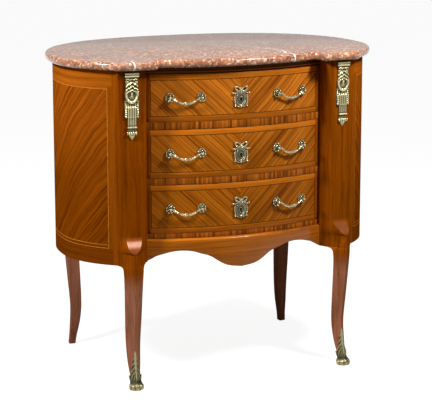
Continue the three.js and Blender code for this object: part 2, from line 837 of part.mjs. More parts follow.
function drawerHeights(openingHeight) {
  const low = slideGap;
  const frontHigh = openingHeight - runningGap;
  const bottomLow = low + drawerBottomRise;
  const bottomHigh = bottomLow + drawerBottomThickness;
  return { low, frontHigh, sideHigh: frontHigh - drawerSideStep, bottomLow, bottomHigh };
}

function drawerSide(openingHeight) {
  const { low, sideHigh, bottomHigh } = drawerHeights(openingHeight);
  const front = tails(low, sideHigh, frontShoulderY + seatGap, frontTipY, 0).flat();
  const back = tails(bottomHigh, sideHigh, backShoulderY - seatGap, drawerBackY, 0).reverse();
  const outline = [
    new THREE.Vector2(frontShoulderY + seatGap, low),
    ...front,
    new THREE.Vector2(frontShoulderY + seatGap, sideHigh),
    new THREE.Vector2(backShoulderY - seatGap, sideHigh),
    ...back.flatMap((tail) => tail.reverse()),
    new THREE.Vector2(backShoulderY - seatGap, bottomHigh),
    new THREE.Vector2(drawerBackY, bottomHigh),
    new THREE.Vector2(drawerBackY, low)
  ];
  return sidePlate(outline, sideInnerX, drawerHalfWidth);
}

// The floor of the drawer, which stands in grooves in the front and sides and runs under the back
function drawerFloor(openingHeight, growth) {
  const { bottomLow, bottomHigh } = drawerHeights(openingHeight);
  const half = sideInnerX + grooveDepth - seatGap + growth;
  const reach = drawerFrontThickness - grooveDepth + seatGap - growth;
  const steps = bowSteps / 2;
  const outline = [
    ...bowCurve(-half, half, -reach, steps),
    new THREE.Vector2(half, drawerBackY + growth), new THREE.Vector2(-half, drawerBackY + growth)
  ];
  return prism(outline, bottomLow - growth, bottomHigh + growth);
}

// The place and outward direction of each handle stud on the right half of a drawer front. The handle
// hangs a little outside the middle between the lock and the side of the opening.
const handleMiddleX = (openingHalfWidth + lockWidth / 2) / 2 + handleShift;
const studs = [-1, 1].map((side) => {
  const x = handleMiddleX + side * rosetteSpacing / 2;
  const slope = 2 * bowDepth * x / openingHalfWidth ** 2;
  return { foot: new THREE.Vector3(x, bowY(x), 0), turn: Math.atan(slope) };
});

function onStud(geometry, stud, z) {
  return geometry.rotateZ(stud.turn).translate(stud.foot.x, stud.foot.y, z);
}

const keyholeOutline = () => {
  const outline = new THREE.Path();
  const shoulder = Math.asin(keySlotHalfWidth / keyholeRadius);
  outline.absarc(0, 0, keyholeRadius, -Math.PI / 2 + shoulder, -Math.PI / 2 - shoulder + 2 * Math.PI, false);
  outline.lineTo(-keySlotHalfWidth, -keySlotDrop);
  outline.lineTo(keySlotHalfWidth, -keySlotDrop);
  return outline;
};

function keyhole(thickness, back, z) {
  const shape = new THREE.Shape(keyholeOutline().getPoints(keyholePoints));
  return facePlate(shape, thickness, back, 1).translate(0, 0, z);
}

function lockCase(openingHeight, growth) {
  const { frontHigh } = drawerHeights(openingHeight);
  const half = lockWidth / 2 + growth;
  return block(-half, half, lockBackY - lockThickness - growth, lockBackY + growth,
    openingHeight * keyholeShare - lockMargin - growth, frontHigh + (growth > 0 ? overrun : 0));
}

function boltBlock(openingHeight, growth) {
  const { frontHigh } = drawerHeights(openingHeight);
  const half = boltWidth / 2 + growth;
  return block(-half, half, boltFrontY - growth, boltBackY + growth,
    frontHigh - slideGap - boltHeight - growth, frontHigh - slideGap + (growth > 0 ? overrun : 0));
}

function drawerFront(openingHeight) {
  const { low, frontHigh, sideHigh } = drawerHeights(openingHeight);
  const outline = [
    ...bowCurve(-drawerHalfWidth, drawerHalfWidth, 0),
    new THREE.Vector2(drawerHalfWidth, frontShoulderY),
    new THREE.Vector2(sideInnerX - seatGap, frontShoulderY),
    ...bowCurve(sideInnerX - seatGap, seatGap - sideInnerX, -drawerFrontThickness, innerBowSteps),
    new THREE.Vector2(seatGap - sideInnerX, frontShoulderY),
    new THREE.Vector2(-drawerHalfWidth, frontShoulderY)
  ];
  const sockets = tailSockets(low, sideHigh, frontShoulderY, frontTipY, 0);
  const studZ = openingHeight * rosetteShare;
  const bores = studs.map((stud) => {
    const length = 2 * (drawerFrontThickness + overrun);
    const bore = new THREE.CylinderGeometry(studRadius + slideGap, studRadius + slideGap, length, knobSides);
    return onStud(bore, stud, studZ);
  });
  const keyZ = openingHeight * keyholeShare;
  const keyBore = keyhole(2 * drawerFrontThickness, bowCentreY + drawerFrontThickness, keyZ);
  return cut(prism(outline, low, frontHigh), [
    ...sockets, ...sockets.map(mirrored), ...bores, ...bores.map(mirrored),
    drawerFloor(openingHeight, seatGap), lockCase(openingHeight, seatGap), keyBore
  ]);
}

function drawerBack(openingHeight) {
  const { sideHigh, bottomHigh } = drawerHeights(openingHeight);
  const plain = block(-drawerHalfWidth, drawerHalfWidth, backShoulderY, drawerBackY, bottomHigh, sideHigh);
  const sockets = tailSockets(bottomHigh, sideHigh, backShoulderY, drawerBackY, overrun);
  return cut(plain, [...sockets, ...sockets.map(mirrored)]);
}

// Rosettes, each with its stud through the drawer front and a nut inside

// A flower whose uppermost petal is drawn out into a crest
function rosetteOutline() {
  const count = rosettePetals * 2;
  return new THREE.Shape(Array.from({ length: count }, (_, i) => {
    const turn = 2 * Math.PI * i / count;
    const petalRadius = rosetteRadius - (i % 2) * rosettePetalDepth * 2;
    const radius = i === 0 ? rosetteRadius + rosetteCrestHeight : petalRadius;
    return new THREE.Vector2(radius * Math.sin(turn), radius * Math.cos(turn));
  }));
}

function rosette(stud, z) {
  const flower = facePlate(rosetteOutline(), rosetteThickness, -seatGap, 1);
  const domeFoot = seatGap + rosetteThickness * rosetteDomeFootShare;
  const headLow = pivotReach - studHeadRadius * studHeadFootShare;
  const headBand = studHeadRadius * studHeadBandShare;
  const nutSeat = -drawerFrontThickness / Math.cos(stud.turn) - nutRunOut;
  const profile = [
    [0, nutSeat - nutThickness], [nutRadius, nutSeat - nutThickness],
    [nutRadius, nutSeat], [studRadius, nutSeat],
    [studRadius, domeFoot], [rosetteDomeRadius, domeFoot],
    [studRadius * rosetteDomeNeckShare, domeFoot + rosetteDomeHeight], [studRadius, headLow],
    [studHeadRadius, pivotReach - headBand], [studHeadRadius, pivotReach + headBand],
    [0, pivotReach + studHeadRadius]
  ].map(([radius, out]) => new THREE.Vector2(radius, out));
  const turned = new THREE.LatheGeometry(profile, knobSides).rotateX(Math.PI);
  return onStud(join([flower, turned]), stud, z);
}

const pivots = studs.map(({ foot, turn }) => (
  foot.clone().add(new THREE.Vector3(Math.sin(turn), -Math.cos(turn), 0).multiplyScalar(pivotReach))
));
const pivotMiddle = pivots[0].clone().lerp(pivots[1], 0.5);
const pivotHalfSpan = pivots[0].distanceTo(pivots[1]) / 2;
const pivotTurn = Math.atan2(pivots[1].y - pivots[0].y, pivots[1].x - pivots[0].x);

const rosettePlaces = ['inner', 'outer'];

function rosettes(openingHeight) {
  const z = openingHeight * rosetteShare;
  const boreRadius = pinRadius + slideGap;
  const boreLength = 2 * (pivotHalfSpan + studHeadRadius + overrun);
  const pinBore = new THREE.CylinderGeometry(boreRadius, boreRadius, boreLength, knobSides)
    .rotateZ(Math.PI / 2 + pivotTurn).translate(pivotMiddle.x, pivotMiddle.y, z);
  return studs.map((stud) => cut(rosette(stud, z), [pinBore]));
}

// The drop handle: a swag with a turned knob, whose end pins turn in the stud heads.
// Rows: where along the half span, how far down, and how thick.
const bailAcrossShares = [0, 0.08, 0.13, 0.2, 0.34, 0.5, 0.65, 0.77, 0.87];
const bailDropShares = [1, 0.99, 0.98, 0.955, 0.85, 0.66, 0.4, 0.14, 0];
const bailWidthShares = [1, 0.9, 0.5, 0.72, 0.5, 0.46, 0.52, 0.66, 0.34];

function bailGeometry() {
  const half = bailAcrossShares.map((share, i) => ({
    x: share * pivotHalfSpan,
    z: -bailDropShares[i] * bailDrop,
    radius: bailWidthShares[i] * bailKnobRadius
  }));
  const pinEnd = pivotHalfSpan + studHeadRadius * bailPinShare;
  const pinStart = half[half.length - 1].x + pinRadius;
  const right = [...half, { x: pinStart, z: 0, radius: pinRadius }, { x: pinEnd, z: 0, radius: pinRadius }];
  const left = right.slice(1).reverse().map(({ x, z, radius }) => ({ x: -x, z, radius }));
  const stations = [...left, ...right];
  const rings = stations.map((station, i) => {
    const before = stations[Math.max(0, i - 1)];
    const after = stations[Math.min(stations.length - 1, i + 1)];
    const along = new THREE.Vector2(after.x - before.x, after.z - before.z).normalize();
    return Array.from({ length: bailSides }, (_, k) => {
      const turn = 2 * Math.PI * k / bailSides;
      const up = station.radius * Math.cos(turn);
      return new THREE.Vector3(
        station.x - along.y * up, station.radius * Math.sin(turn), station.z + along.x * up
      );
    });
  });
  return loft(rings);
}

// Keyhole plates: an oval frame under a ribbon bow, with a small drop below

const ellipse = (x, z, halfWidth, halfHeight, turn = 0) => (
  new THREE.Path().absellipse(x, z, halfWidth, halfHeight, 0, 2 * Math.PI, false, turn)
);

function ellipseRing(x, z, halfWidth, halfHeight, width, turn, divisions) {
  const outer = ellipse(x, z, halfWidth, halfHeight, turn).getPoints(divisions).slice(0, -1);
  const shape = new THREE.Shape(outer);
  const hole = ellipse(x, z, halfWidth - width, halfHeight - width, turn).getPoints(divisions).slice(0, -1);
  shape.holes.push(new THREE.Path(hole));
  return shape;
}

// The ends of the ribbon: how far out, and how high above the keyhole
const ribbonAcrossShares = [0, 0.45, 0.72, 0.91];
const ribbonRiseShares = [0.856, 0.72, 0.3, 0.42];

function escutcheon(z) {
  const back = bowCentreY - seatGap;
  const innerOval = ellipse(0, 0, plateHalfWidth - frameWidth / 2, plateHalfHeight - frameWidth / 2);
  const plateShape = new THREE.Shape(innerOval.getPoints(ovalPoints).slice(0, -1));
  plateShape.holes.push(new THREE.Path(keyholeOutline().getPoints(keyholePoints)));
  const plate = facePlate(plateShape, plateThickness, 0, 1);
  const frame = facePlate(
    ellipseRing(0, 0, plateHalfWidth, plateHalfHeight, frameWidth, 0, ovalPoints), frameThickness, 0, 1
  );
  const loops = [-1, 1].map((side) => facePlate(
    ellipseRing(
      side * bowSpread, bowRise, bowLoopHalfLength, bowLoopHalfWidth, ribbonWidth, side * bowTilt, loopPoints
    ),
    ribbonThickness, 0, 1
  ));
  const knot = new THREE.SphereGeometry(knotRadius, 6, 4).translate(0, -knotRadius, bowRise - knotRadius);
  const ends = [-1, 1].map((side) => {
    const ribbon = new THREE.SplineCurve(ribbonAcrossShares.map((share, i) => (
      new THREE.Vector2(side * share * ribbonReach, ribbonRiseShares[i] * bowRise)
    ))).getPoints(3);
    const lower = ribbon.map((point) => point.clone().setY(point.y - ribbonWidth));
    return facePlate(new THREE.Shape([...ribbon, ...lower.reverse()]), ribbonThickness, 0, 1);
  });
  return join([plate, frame, ...loops, knot, ...ends]).translate(0, back, z);
}

function addDrawer(number, openingBottom, openingHeight) {
  const name = `drawer_${number}`;
  const drawer = new THREE.Group();
  drawer.position.z = openingBottom;
  chest.add(drawer);
  addPiece(drawer, `${name}_front`, drawerFront(openingHeight), showWood);
  const side = cut(drawerSide(openingHeight), [drawerFloor(openingHeight, seatGap)]);
  addPair(drawer, `${name}_side`, side, insideWood);
  addPiece(drawer, `${name}_back`, drawerBack(openingHeight), insideWood);
  addPiece(drawer, `${name}_bottom`, drawerFloor(openingHeight, 0), insideWood);
  addPiece(drawer, `${name}_escutcheon`, escutcheon(openingHeight * keyholeShare), bronze);
  const keyStop = lockBackY - lockInset;
  const key = keyhole(2 * lockThickness, keyStop, openingHeight * keyholeShare);
  const lock = cut(lockCase(openingHeight, 0), [boltBlock(openingHeight, slideGap), key]);
  addPiece(drawer, `${name}_lock`, lock, steel);
  addPiece(drawer, `${name}_lock_bolt`, boltBlock(openingHeight, 0), steel);
  rosettes(openingHeight).forEach((piece, i) => (
    addPair(drawer, `${name}_rosette_${rosettePlaces[i]}`, piece, bronze)
  ));
  [['right', 1], ['left', -1]].forEach(([hand, sign]) => {
    const bail = addPiece(drawer, `${name}_bail_${hand}`, bailGeometry(), bronze);
    bail.position.set(sign * pivotMiddle.x, pivotMiddle.y, openingHeight * rosetteShare);
    bail.rotation.z = sign * pivotTurn;
  });
}

openingHeights.forEach((height, i) => addDrawer(i + 1, openingBottoms[i], height));

// Sabots: cast shoes that close round the foot and climb its front edge as a leaf

function sabotGeometry() {
  const columns = 12;
  const curve = new THREE.CatmullRomCurve3(frontStations.map(({ centre, half, height }) => (
    new THREE.Vector3(centre.clone().sub(frontAnkle).dot(frontLegDirection), half, height)
  )));
  const lowSamples = curve.getPoints(60).reverse();
  const stationAt = (height) => {
    const above = lowSamples.findIndex((sample) => sample.z >= height);
    const upper = lowSamples[Math.max(1, above)];
    const lower = lowSamples[Math.max(1, above) - 1];
    return lower.clone().lerp(upper, (height - lower.z) / (upper.z - lower.z));
  };
  // A point of the leg's surface, grown by a distance, in the direction of one column
  const skinPoint = (column, height, growth, roundShare) => {
    const station = stationAt(Math.max(height, frontLegFoot));
    const turn = 2 * Math.PI * column / columns;
    const alongShare = Math.cos(turn);
    const acrossShare = Math.sin(turn);
    const diamond = (station.y + growth * Math.SQRT2) / (Math.abs(alongShare) + Math.abs(acrossShare));
    const radius = THREE.MathUtils.lerp(diamond, sabotBaseRadius, roundShare);
    const across = new THREE.Vector2(-frontLegDirection.y, frontLegDirection.x);
    const reach = station.x + sabotForward * roundShare;
    const centre = frontAnkle.clone().addScaledVector(frontLegDirection, reach);
    const point = centre.addScaledVector(frontLegDirection, radius * alongShare)
      .addScaledVector(across, radius * acrossShare);
    return new THREE.Vector3(point.x, point.y, height);
  };
  const rimHeight = (column) => {
    const alongShare = Math.cos(2 * Math.PI * column / columns);
    const climb = Math.max(0, alongShare) ** 3;
    const fall = Math.max(0, -alongShare);
    const leafRise = climb * (sabotLeafHeight - sabotSideHeight);
    return sabotSideHeight + leafRise - fall * (sabotSideHeight - sabotBackHeight);
  };
  const ring = (place) => Array.from({ length: columns }, (_, column) => place(column));
  const outerShares = [0, 0.5, 1];
  const rings = [
    ring((column) => skinPoint(column, 0, 0, 0.86)),
    ring((column) => skinPoint(column, sabotBaseHeight * 0.3, 0, 1)),
    ring((column) => skinPoint(column, sabotBaseHeight * 0.7, sabotWall, 0.9)),
    ...outerShares.map((share) => ring((column) => (
      skinPoint(column, THREE.MathUtils.lerp(sabotBaseHeight, rimHeight(column), share), sabotWall, 0)
    ))),
    ...outerShares.slice(1).reverse().map((share) => ring((column) => (
      skinPoint(column, THREE.MathUtils.lerp(sabotBaseHeight, rimHeight(column), share), seatGap, 0)
    ))),
    ring((column) => skinPoint(column, sabotBaseHeight, seatGap, 0)),
    ring((column) => skinPoint(column, sabotSole, seatGap, 0))
  ];
  return loft(rings);
}

addPair(chest, 'sabot', sabotGeometry(), bronze);

// Chutes: a stepped cap, a shell canopy, a swag, a beaded pilaster and a pendant

const chuteWidthShares = [1, 1, 0.78, 0.78, 1, 1, 0.6, 0.6, 0.76, 0.76, 0.3, 0];
const chuteDropShares = [0, 0.068, 0.085, 0.27, 0.32, 0.66, 0.68, 0.78, 0.8, 0.9, 0.95, 1];

// Bars: half width, top, foot and relief. Ribs: place across, top and foot.
const chuteBarShares = [
  [1, 0, 0.03, 1], [0.86, 0.02, 0.065, 0.8], [1, 0.31, 0.335, 0.7], [0.76, 0.8, 0.83, 0.7]
];
const chuteRibShares = [
  [-0.34, 0.34, 0.65], [0, 0.34, 0.65], [0.34, 0.34, 0.65], [-0.26, 0.67, 0.79], [0.26, 0.67, 0.79]
];
const canopyWidthShare = 0.82;
const canopyHeightShare = 0.95;
const canopyDropShare = 0.15;
const swagReachShare = 0.62;
const swagDropShare = 0.235;
const swagRadiusShare = 1.3;
const swagEndShare = 1.7;
const beadColumnShare = 0.78;
const beadColumnTopShare = 0.365;
const beadColumnLowShare = 0.63;
const beadRowShares = [-0.5, -0.17, 0.17, 0.5];
const beadRowDropShare = 0.865;
const pendantRadiusShare = 0.3;
const pendantLengthShare = 1.4;
const pendantReachShare = 0.6;
const pendantDropShare = 0.935;

// The garland hangs as half a ring between two rosettes
function chuteSwag() {
  const swagSteps = 6;
  const swagSides = 5;
  const ringRadius = chuteHalfWidth * swagReachShare;
  const ropeRadius = chuteRibRadius * swagRadiusShare;
  const drop = swagDropShare * chuteHeight;
  const rope = loft(Array.from({ length: swagSteps + 1 }, (_, i) => {
    const turn = Math.PI * i / swagSteps;
    return Array.from({ length: swagSides }, (__, k) => {
      const around = 2 * Math.PI * k / swagSides;
      const radius = ringRadius + ropeRadius * Math.cos(around);
      return new THREE.Vector3(
        radius * Math.cos(turn), -chutePlate - ropeRadius * Math.sin(around), -drop - radius * Math.sin(turn)
      );
    });
  }));
  const endRadius = chuteRibRadius * swagEndShare;
  const ends = [-1, 1].map((side) => (
    new THREE.SphereGeometry(endRadius, 6, 4).translate(side * ringRadius, -chutePlate, -drop)
  ));
  return [rope, ...ends];
}

function chuteGeometry() {
  const half = chuteDropShares.map((share, i) => (
    new THREE.Vector2(chuteWidthShares[i] * chuteHalfWidth, -share * chuteHeight)
  ));
  const left = half.slice(0, -1).reverse().map(({ x, y }) => new THREE.Vector2(-x, y));
  const plate = facePlate(new THREE.Shape([...half, ...left]), chutePlate, 0, 1);
  const bars = chuteBarShares.map(([halfWidthShare, topShare, lowShare, reliefShare]) => block(
    -halfWidthShare * chuteHalfWidth, halfWidthShare * chuteHalfWidth, -reliefShare * chuteRelief, 0,
    -lowShare * chuteHeight, -topShare * chuteHeight
  ));
  const canopy = new THREE.SphereGeometry(chuteHalfWidth, 10, 5)
    .scale(canopyWidthShare, chuteRelief / chuteHalfWidth, canopyHeightShare)
    .translate(0, 0, -canopyDropShare * chuteHeight);
  const ribs = chuteRibShares.map(([acrossShare, topShare, lowShare]) => {
    const length = (lowShare - topShare) * chuteHeight;
    return new THREE.CylinderGeometry(chuteRibRadius, chuteRibRadius, length, 6).rotateX(Math.PI / 2)
      .translate(acrossShare * chuteHalfWidth, -chutePlate, -(topShare + lowShare) / 2 * chuteHeight);
  });
  const bead = (acrossShare, dropShare) => new THREE.SphereGeometry(chuteBeadRadius, 4, 3)
    .translate(acrossShare * chuteHalfWidth, -chutePlate, -dropShare * chuteHeight);
  const beadColumns = [-1, 1].flatMap((side) => Array.from({ length: chuteBeads }, (_, i) => {
    const dropShare = THREE.MathUtils.lerp(beadColumnTopShare, beadColumnLowShare, i / (chuteBeads - 1));
    return bead(side * beadColumnShare, dropShare);
  }));
  const beadRow = beadRowShares.map((share) => bead(share, beadRowDropShare));
  const pendant = new THREE.SphereGeometry(chuteHalfWidth * pendantRadiusShare, 6, 4)
    .scale(1, 1, pendantLengthShare)
    .translate(0, -chutePlate * pendantReachShare, -pendantDropShare * chuteHeight);
  const raised = [...bars, canopy, ...chuteSwag(), ...ribs, ...beadColumns, ...beadRow, pendant];
  const behind = block(-chuteHeight, chuteHeight, 0, chuteHeight, -2 * chuteHeight, chuteHeight);
  return cut(join([plate, ...raised]), [behind]);
}

// Each chute lies on the chamfered face of its post
function chutePlacement() {
  const chuteTopZ = bodyTop - chuteDrop;
  const top = postCorners(chuteTopZ);
  const low = postCorners(chuteTopZ - chuteHeight);
  const middleAt = (corners, z) => {
    const middle = corners.faceIn.clone().lerp(corners.faceOut, 0.5);
    return new THREE.Vector3(middle.x, middle.y, z);
  };
  const upper = middleAt(top, chuteTopZ);
  const lower = middleAt(low, chuteTopZ - chuteHeight);
  const up = upper.clone().sub(lower).normalize();
  const along = top.faceOut.clone().sub(top.faceIn).normalize();
  const inwards = new THREE.Vector3(0, 0, 1).cross(new THREE.Vector3(along.x, along.y, 0)).normalize();
  const across = inwards.clone().cross(up).normalize();
  const square = up.clone().cross(across).normalize();
  const centre = upper.addScaledVector(square, -seatGap);
  return new THREE.Matrix4().makeBasis(across, square, up).setPosition(centre);
}

addPair(chest, 'chute', chuteGeometry().applyMatrix4(chutePlacement()), bronze);

export default chest;
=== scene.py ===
"""Looks for the commode chest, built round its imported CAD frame. Metres, +Z up, the front faces -Y."""

import bmesh
import bpy
import math
from mathutils import Matrix, Vector


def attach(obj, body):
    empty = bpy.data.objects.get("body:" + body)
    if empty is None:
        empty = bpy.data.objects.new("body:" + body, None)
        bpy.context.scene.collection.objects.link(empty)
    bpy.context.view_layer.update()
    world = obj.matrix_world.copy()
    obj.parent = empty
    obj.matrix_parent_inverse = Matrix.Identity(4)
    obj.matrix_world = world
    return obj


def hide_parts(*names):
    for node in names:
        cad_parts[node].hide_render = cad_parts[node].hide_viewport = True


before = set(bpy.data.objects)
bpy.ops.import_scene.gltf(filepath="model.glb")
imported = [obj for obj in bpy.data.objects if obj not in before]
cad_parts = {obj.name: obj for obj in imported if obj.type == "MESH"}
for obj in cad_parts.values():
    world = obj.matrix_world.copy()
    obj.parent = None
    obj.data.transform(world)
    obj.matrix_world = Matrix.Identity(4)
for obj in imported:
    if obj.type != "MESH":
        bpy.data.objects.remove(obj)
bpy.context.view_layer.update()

MM = 0.001
TAU = 2 * math.pi
SIDES = (("right", 1), ("left", -1))

# ---------------------------------------------------------------- sizes, in millimetres, as in the CAD
BODY_HALF_WIDTH = 423.7
BODY_FRONT_DEPTH, BODY_BACK_DEPTH = 271, 336
OVAL_CENTRE_Y = -61.7
FRONT_POWER, BACK_POWER = 2.1, 2.35
BODY_BOTTOM, BODY_TOP = 324, 829
MARBLE_TOP, MARBLE_EDGE = 850, 8
MARBLE_OVERHANG, MARBLE_FRONT = 18.9, 22.5
OPENING_HALF, DRAWER_HALF = 245.5, 244.5
BOW_DEPTH, BOW_CENTRE_Y = 47.74, -261.1
SIDE_FRONT_X = 333
REAR_POST_X, REAR_POST_HALF = 316, 26
# reveal edge and the two edges of the chamfer of the right front post, at its top and at its knee
POST_POINTS = (((249.5, -236.7), (249.5, -226.5)), ((258.5, -256), (270.3, -253.5)), ((331, -249), (312.8, -248.8)))
POST_TAPER_LOW = 410
DRAWERS = {1: (687.5, 124.5), 2: (541.0, 127.4), 3: (395.0, 129.0)}
KEY_SHARE, ROSETTE_SHARE = 0.44, 0.506
ROSETTE_XS = (105.4, 185.4)
PIVOT_REACH = 13
CHUTE_HALF, CHUTE_LENGTH, CHUTE_TOP = 18.7, 172, 823


# ---------------------------------------------------------------- curves and measures
def lerp(a, b, share):
    return a + (b - a) * share


def smooth(value, low, high):
    share = min(1.0, max(0.0, (value - low) / (high - low)))
    return share * share * (3 - 2 * share)


def bump(value, middle, half):
    """1 at the middle, falling in a round to 0 at half either side."""
    return max(0.0, 1 - ((value - middle) / half) ** 2) ** 0.5


def hill(value, middle, half):
    """1 at the middle, with a soft fall and long feet."""
    return math.exp(-((value - middle) / half) ** 2)


def turns(count):
    return [TAU * k / count for k in range(count)]


def table(rows, value):
    """Straight-line reading of (place, value) rows."""
    if value <= rows[0][0]:
        return rows[0][1]
    for (a, low), (b, high) in zip(rows, rows[1:]):
        if value <= b:
            return lerp(low, high, (value - a) / (b - a))
    return rows[-1][1]


def distances(points):
    """How far along the line of points each of them lies."""
    run = [0.0]
    for a, b in zip(points, points[1:]):
        run.append(run[-1] + math.dist(a, b))
    return run


def signed_power(value, power):
    return math.copysign(abs(value) ** power, value)


def oval_point(angle, outset=0.0):
    front = math.sin(angle) < 0
    power = 2 / (FRONT_POWER if front else BACK_POWER)
    depth = (BODY_FRONT_DEPTH if front else BODY_BACK_DEPTH) + outset
    return Vector((signed_power(math.cos(angle), power) * (BODY_HALF_WIDTH + outset),
                   OVAL_CENTRE_Y + signed_power(math.sin(angle), power) * depth))


def oval_angle_at(x, front, outset=0.0):
    power = FRONT_POWER if front else BACK_POWER
    angle = math.acos(min(1.0, x / (BODY_HALF_WIDTH + outset)) ** (power / 2))
    return -angle if front else angle


def oval_angle_after(angle, distance):
    nearby = 1e-4
    speed = (oval_point(angle + nearby) - oval_point(angle - nearby)).length / (2 * nearby)
    return angle + distance / speed


def bow_y(x, forward=0.0):
    return BOW_CENTRE_Y + BOW_DEPTH * (x / OPENING_HALF) ** 2 - forward


def bow_ways(x):
    """The ways along the bow and out of it."""
    turn = math.atan(2 * BOW_DEPTH * x / OPENING_HALF ** 2)
    return Vector((math.cos(turn), math.sin(turn), 0)), Vector((math.sin(turn), -math.cos(turn), 0))


def spline(points, steps):
    """A Catmull-Rom curve through points, evenly shared between them."""
    result = []
    for i in range(len(points) - 1):
        p0, p1, p2, p3 = (points[min(len(points) - 1, max(0, i + k))] for k in (-1, 0, 1, 2))
        for t in (k / steps for k in range(steps)):
            result.append(0.5 * ((2 * p1) + (p2 - p0) * t + (2 * p0 - 5 * p1 + 4 * p2 - p3) * t * t
                                 + (3 * p1 - p0 - 3 * p2 + p3) * t ** 3))
    return result + [points[-1].copy()]


FRONT_ANGLE = oval_angle_at(SIDE_FRONT_X, True)
REAR_ANGLE = oval_angle_at(REAR_POST_X, False)
REAR_START = oval_angle_after(REAR_ANGLE, -REAR_POST_HALF)
REAR_END = oval_angle_after(REAR_ANGLE, REAR_POST_HALF)


# ---------------------------------------------------------------- materials
def linear(*colour):
    """Red, green and blue of 0 to 255 as a node colour."""
    shares = [c / 255 for c in colour]
    return tuple(c / 12.92 if c <= 0.04045 else ((c + 0.055) / 1.055) ** 2.4 for c in shares) + (1.0,)


def between(low, high, share):
    return [lerp(a, b, share) for a, b in zip(low, high)]


class Graph:
    """A small helper for building node materials. Inputs are numbers, colours or the outputs of other nodes."""

    def __init__(self, name):
        self.material = bpy.data.materials.new(name)
        self.material.use_nodes = True
        self.tree = self.material.node_tree
        self.shader = self.tree.nodes["Principled BSDF"]

    def feed(self, node, inputs):
        for key, value in inputs.items():
            if isinstance(value, bpy.types.NodeSocket):
                self.tree.links.new(value, node.inputs[key])
            elif value is not None:
                node.inputs[key].default_value = value

    def shade(self, inputs):
        self.feed(self.shader, inputs)

    def node(self, kind, inputs=None, **settings):
        made = self.tree.nodes.new(f"ShaderNode{kind}")
        for key, value in settings.items():
            setattr(made, key, value)
        self.feed(made, inputs or {})
        return made

    def place(self):
        return self.node("TexCoord").outputs["Object"]

    def split(self, vector):
        return self.node("SeparateXYZ", {0: vector}).outputs

    def join(self, x, y, z):
        return self.node("CombineXYZ", {"X": x, "Y": y, "Z": z}).outputs[0]

    def math(self, operation, a, b=None, clamp=False):
        return self.node("Math", {0: a, 1: b}, operation=operation, use_clamp=clamp).outputs[0]

    def total(self, *parts):
        """The sum of (value, weight) pairs."""
        result = None
        for value, weight in parts:
            weighed = self.math("MULTIPLY", value, weight)
            result = weighed if result is None else self.math("ADD", result, weighed)
        return result

    def centred(self, value, weight):
        return self.math("MULTIPLY", self.math("SUBTRACT", value, 0.5), weight)

    def mapping(self, vector, scale=(1, 1, 1), rotation=(0, 0, 0)):
        return self.node("Mapping", {"Vector": vector, "Scale": scale, "Rotation": rotation}).outputs[0]

    def noise(self, vector, scale, detail=4.0, rough=0.55):
        return self.node("TexNoise", {"Vector": vector, "Scale": scale, "Detail": detail,
                                      "Roughness": rough}).outputs["Fac"]

    def ramp(self, value, stops):
        made = self.node("ValToRGB", {"Fac": value})
        elements = made.color_ramp.elements
        while len(elements) < len(stops):
            elements.new(0.5)
        for element, (place, colour) in zip(elements, stops):
            element.position, element.color = place, colour
        return made.outputs["Color"]

    def mix(self, share, a, b, blend="MIX"):
        return self.node("Mix", {0: share, 6: a, 7: b}, data_type="RGBA", blend_type=blend).outputs[2]

    def span(self, value, start, end, low=0.0, high=1.0, ease="SMOOTHSTEP"):
        """Carries the span from start to end over to the one from low to high."""
        return self.node("MapRange", {"Value": value, "From Min": start, "From Max": end, "To Min": low,
                                      "To Max": high}, interpolation_type=ease).outputs[0]

    def polish(self, start, end, low, high, rough):
        """A clear coat that grows as the surface is seen at a more glancing angle."""
        facing = self.node("LayerWeight", {"Blend": 0.5}).outputs["Facing"]
        self.shade({"Coat Weight": self.span(facing, start, end, low, high), "Coat Roughness": rough})

    def bump(self, height, distance, strength):
        made = self.node("Bump", {"Height": height, "Distance": distance, "Strength": strength})
        self.shade({"Normal": made.outputs["Normal"]})


GRAIN_TURN = {"Z": (0, math.pi / 2, 0), "Y": (0, 0, -math.pi / 2), "X": (0, 0, 0)}


